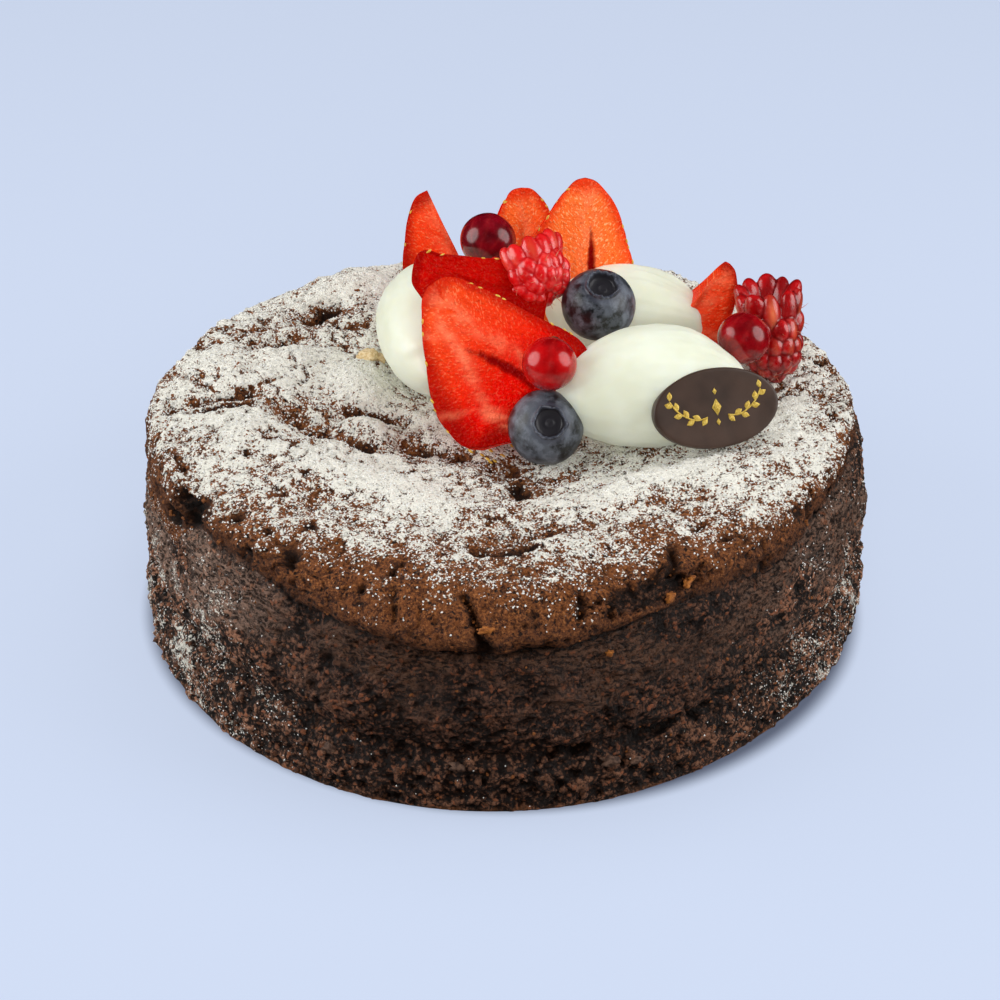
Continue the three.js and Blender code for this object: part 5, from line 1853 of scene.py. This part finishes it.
def makePlaque():
    sizes = plaqueSizes
    axes = basisAlong(sizes["face"], (0, 0, 1))
    middle = np.array(sizes["at"])
    turn = turnsOf(sizes["sides"])
    half, thick, rounding, dip = sizes["half"], sizes["thick"] / 2, sizes["round"], sizes["dip"]

    def ring(inset, high):
        return ringOf(turn, 1, high) * np.array([half[0] - inset, half[1] - inset, 1])

    rows = [ringOf(turn, 0, -thick), ring(half[1] * 0.6, -thick)]
    for step in np.linspace(-90, 0, 7) * deg:
        rows.append(ring(rounding * (1 - math.cos(step)), -thick + rounding * (1 + math.sin(step))))
    for step in np.linspace(0, 90, 9) * deg:
        rows.append(ring(rounding * (1 - math.cos(step)), thick - rounding * (1 - math.sin(step))))
    for inset in (0.9, 1.6, 2.6, 4, 5.6, 7):
        rows.append(ring(inset, thick - dip * smooth(0.5, 5, inset)))
    rows.append(ringOf(turn, 0, thick - dip))
    flat = np.array(rows).reshape(-1, 3)
    flat[:, 2] += 0.05 * noise(flat, 6, 201) * smooth(0, 1, thick - np.abs(flat[:, 2]) + 0.5)
    grid = (flat @ axes.T + middle).reshape(len(rows), -1, 3)
    settleMesh("plaque_plate", "chocolate", loft(grid), makeChocolateFinish(), None, "plaque")
    gold = makeGoldFinish()
    points, faces = makeOrnament(gold)
    points = (points + np.array([0, 0, thick - dip])) @ axes.T + middle
    settleMesh("plaque_ornament", "chocolate", (points, faces), gold, None)
    print("plaque done")


def makeOrnament(gold):  # two plain twigs with leaves, and diamonds between them
    sizes = plaqueSizes
    leaf = leafShape()
    twig = curveThrough(sizes["twig"], np.linspace(0, 1, 40))
    base = bpy.data.meshes.new("twigLine")
    line = np.column_stack([twig, np.zeros(40)]) * mm
    base.from_pydata(line.tolist(), [[one, one + 1] for one in range(39)], [])
    values = {"Leaf": leaf, "Count": sizes["leaves"], "Spread": sizes["leafSpread"], "Material": gold}
    spray = grown("spray", base, makeLeafTree(), values)
    points, faces = readMesh(spray.data, 1 / mm)
    # the second spray mirrors the first
    parts = [(points, faces), (points * np.array([-1, 1, 1]), [face[::-1] for face in faces])]
    side = np.gradient(twig, axis=0)
    side = unit(np.stack([-side[:, 1], side[:, 0]], 1)) * sizes["twigWidth"]
    loop = np.concatenate([twig + side, (twig - side)[::-1]])
    parts += [ribbon(loop[::-1]), ribbon(loop * np.array([-1, 1]))]
    for x, y, wide, high in sizes["diamonds"]:
        corners = [np.array([wide * math.cos(turn), high * math.sin(turn)])
                   for turn in (one * 90 * deg for one in range(5))]
        parts.append(ribbon([start + (end - start) * step / 5 + (x, y)
                             for start, end in zip(corners, corners[1:]) for step in range(5)]))
    clearAway(leaf, spray)
    return joined(parts)


def makeToppings():
    cream = makeCreamFinish()
    for one, (name, sizes) in enumerate(creamSizes.items()):
        makeCream(name, sizes, cream, 150 + 3 * one)
    makeStrawberries()
    makeRaspberries()
    for name, berry in currantSizes.items():
        makeCurrant(name, berry)
    blueberry = makeBlueberryFinish()
    for one, (name, berry) in enumerate(blueberrySizes.items()):
        makeBlueberry(name, berry, blueberry, 180 + 3 * one)
    makePlaque()


# the floor, the camera and the lights
stageSizes = {
    "eyeDistance": 600,
    "eyeTilt": 32,
    "lookAt": (0, 0, 20),
    "focal": 2815,  # in pixels of a picture 1000 wide
    "picture": 1000,
    "film": 36,
    "aside": (3.5, 15),  # where lookAt lies from the picture's middle, in pixels right and down
    "roll": 0.7,
    "floor": ink(208, 220, 243),
    "floorMottled": ink(198, 212, 238),
    "floorReach": 3000,
    "floorLevel": -0.1,
    "shadow": ink(52, 60, 84),
    "shadowReach": (73.4, 78.6),  # where the painted shadow round the foot begins to fade, and ends
    # lights: direction in degrees and tilt, distance, width, height, watts
    "lights": {
        "left": (-84, 24, 600, 560, 560, 2.7),
        "right": (82, 26, 600, 520, 560, 2.3),
        "above": (150, 74, 700, 560, 560, 1.7),
        "front": (4, 30, 760, 400, 400, 2.2),
    },
    "lightsAbout": (0, 0, 30),
    "unseen": ("above", "front"),  # these two leave no highlights
    "sky": (0.97, 0.98, 1.0, 1.0),
    "skyStrength": 0.26,
    "floorGlow": 0.72,  # the share of the floor's brightness that needs no light
    "floorShade": 0.24,  # the share that darkens where the cake keeps light away
}


def placed(name, data, at, towards, roll=0):  # a camera or a lamp that looks along a direction
    piece = objectOf(name, data)
    piece.location = at
    piece.rotation_mode = "QUATERNION"
    piece.rotation_quaternion = towards.to_track_quat("-Z", "Y") @ Quaternion((0, 0, 1), roll)
    return piece


def makeCamera():
    sizes = stageSizes
    tilt, far = sizes["eyeTilt"] * deg, sizes["eyeDistance"]
    forward = np.array([0, math.cos(tilt), -math.sin(tilt)])
    up = np.array([0, math.sin(tilt), math.cos(tilt)])
    eye = np.array(sizes["lookAt"]) - forward * far
    x, y = (part * far / sizes["focal"] for part in sizes["aside"])
    aim = np.array(sizes["lookAt"]) - np.array([x, 0, 0]) + up * y
    data = bpy.data.cameras.new("camera")
    data.sensor_width = sizes["film"]
    data.lens = sizes["focal"] * sizes["film"] / sizes["picture"]
    data.clip_start, data.clip_end = 0.05, 20
    camera = placed("camera", data, Vector(eye * mm), Vector(aim - eye), sizes["roll"] * deg)
    bpy.context.scene.camera = camera


def makeFloor():
    sizes = stageSizes
    finish = Finish("paper", {"Specular IOR Level": 0.1, "Emission Strength": sizes["floorGlow"]})
    mottled = finish.noise(60, 2, 71)
    away = finish.node("ShaderNodeVectorMath", {"operation": "LENGTH"}, {0: finish.place}, out="Value")
    near, far = (reach * mm for reach in sizes["shadowReach"])
    shade = finish.cover(
        sizes["floor"],
        (mottled * 0.06, sizes["floorMottled"]),
        # painted shadow: a dark ring round the cake's foot, also in the glow
        ((1 - away.eased(near, far)) * 0.85, sizes["shadow"]),
    )
    lit = finish.blend(sizes["floorShade"], (0, 0, 0, 1), shade)
    material = finish.wear(lit, 0.9, mottled, deep=0.02, glow=shade)
    reach, level = sizes["floorReach"], sizes["floorLevel"]
    corners = [[x * reach, y * reach, level] for x, y in ((-1, -1), (1, -1), (1, 1), (-1, 1))]
    floor = objectOf("floor", meshOf("floor", corners, [[0, 1, 2, 3]], material))
    floor.visible_diffuse = False  # the floor lights nothing, so the side of the cake stays dark
    floor.visible_glossy = False


def makeStage():
    makeCamera()
    makeFloor()
    sizes = stageSizes
    for name, (aside, above, away, wide, high, power) in sizes["lights"].items():
        light = bpy.data.lights.new(name, "AREA")
        light.shape = "ELLIPSE"
        light.size, light.size_y, light.energy = wide * mm, high * mm, power
        aside, above = aside * deg, above * deg
        flat = math.cos(above)
        back = Vector((math.sin(aside) * flat, -math.cos(aside) * flat, math.sin(above)))
        lamp = placed(name, light, back * away * mm + Vector(sizes["lightsAbout"]) * mm, -back)
        lamp.visible_glossy = name not in sizes["unseen"]
    world = bpy.data.worlds.new("studio")
    world.use_nodes = True
    sky = world.node_tree.nodes["Background"]
    sky.inputs["Color"].default_value = sizes["sky"]
    sky.inputs["Strength"].default_value = sizes["skyStrength"]
    world.cycles_visibility.glossy = False
    bpy.context.scene.world = world
    bpy.context.scene.view_settings.view_transform = "Standard"
    print("stage done")


makeCake()
makeToppings()
makeStage()
bpy.context.view_layer.update()
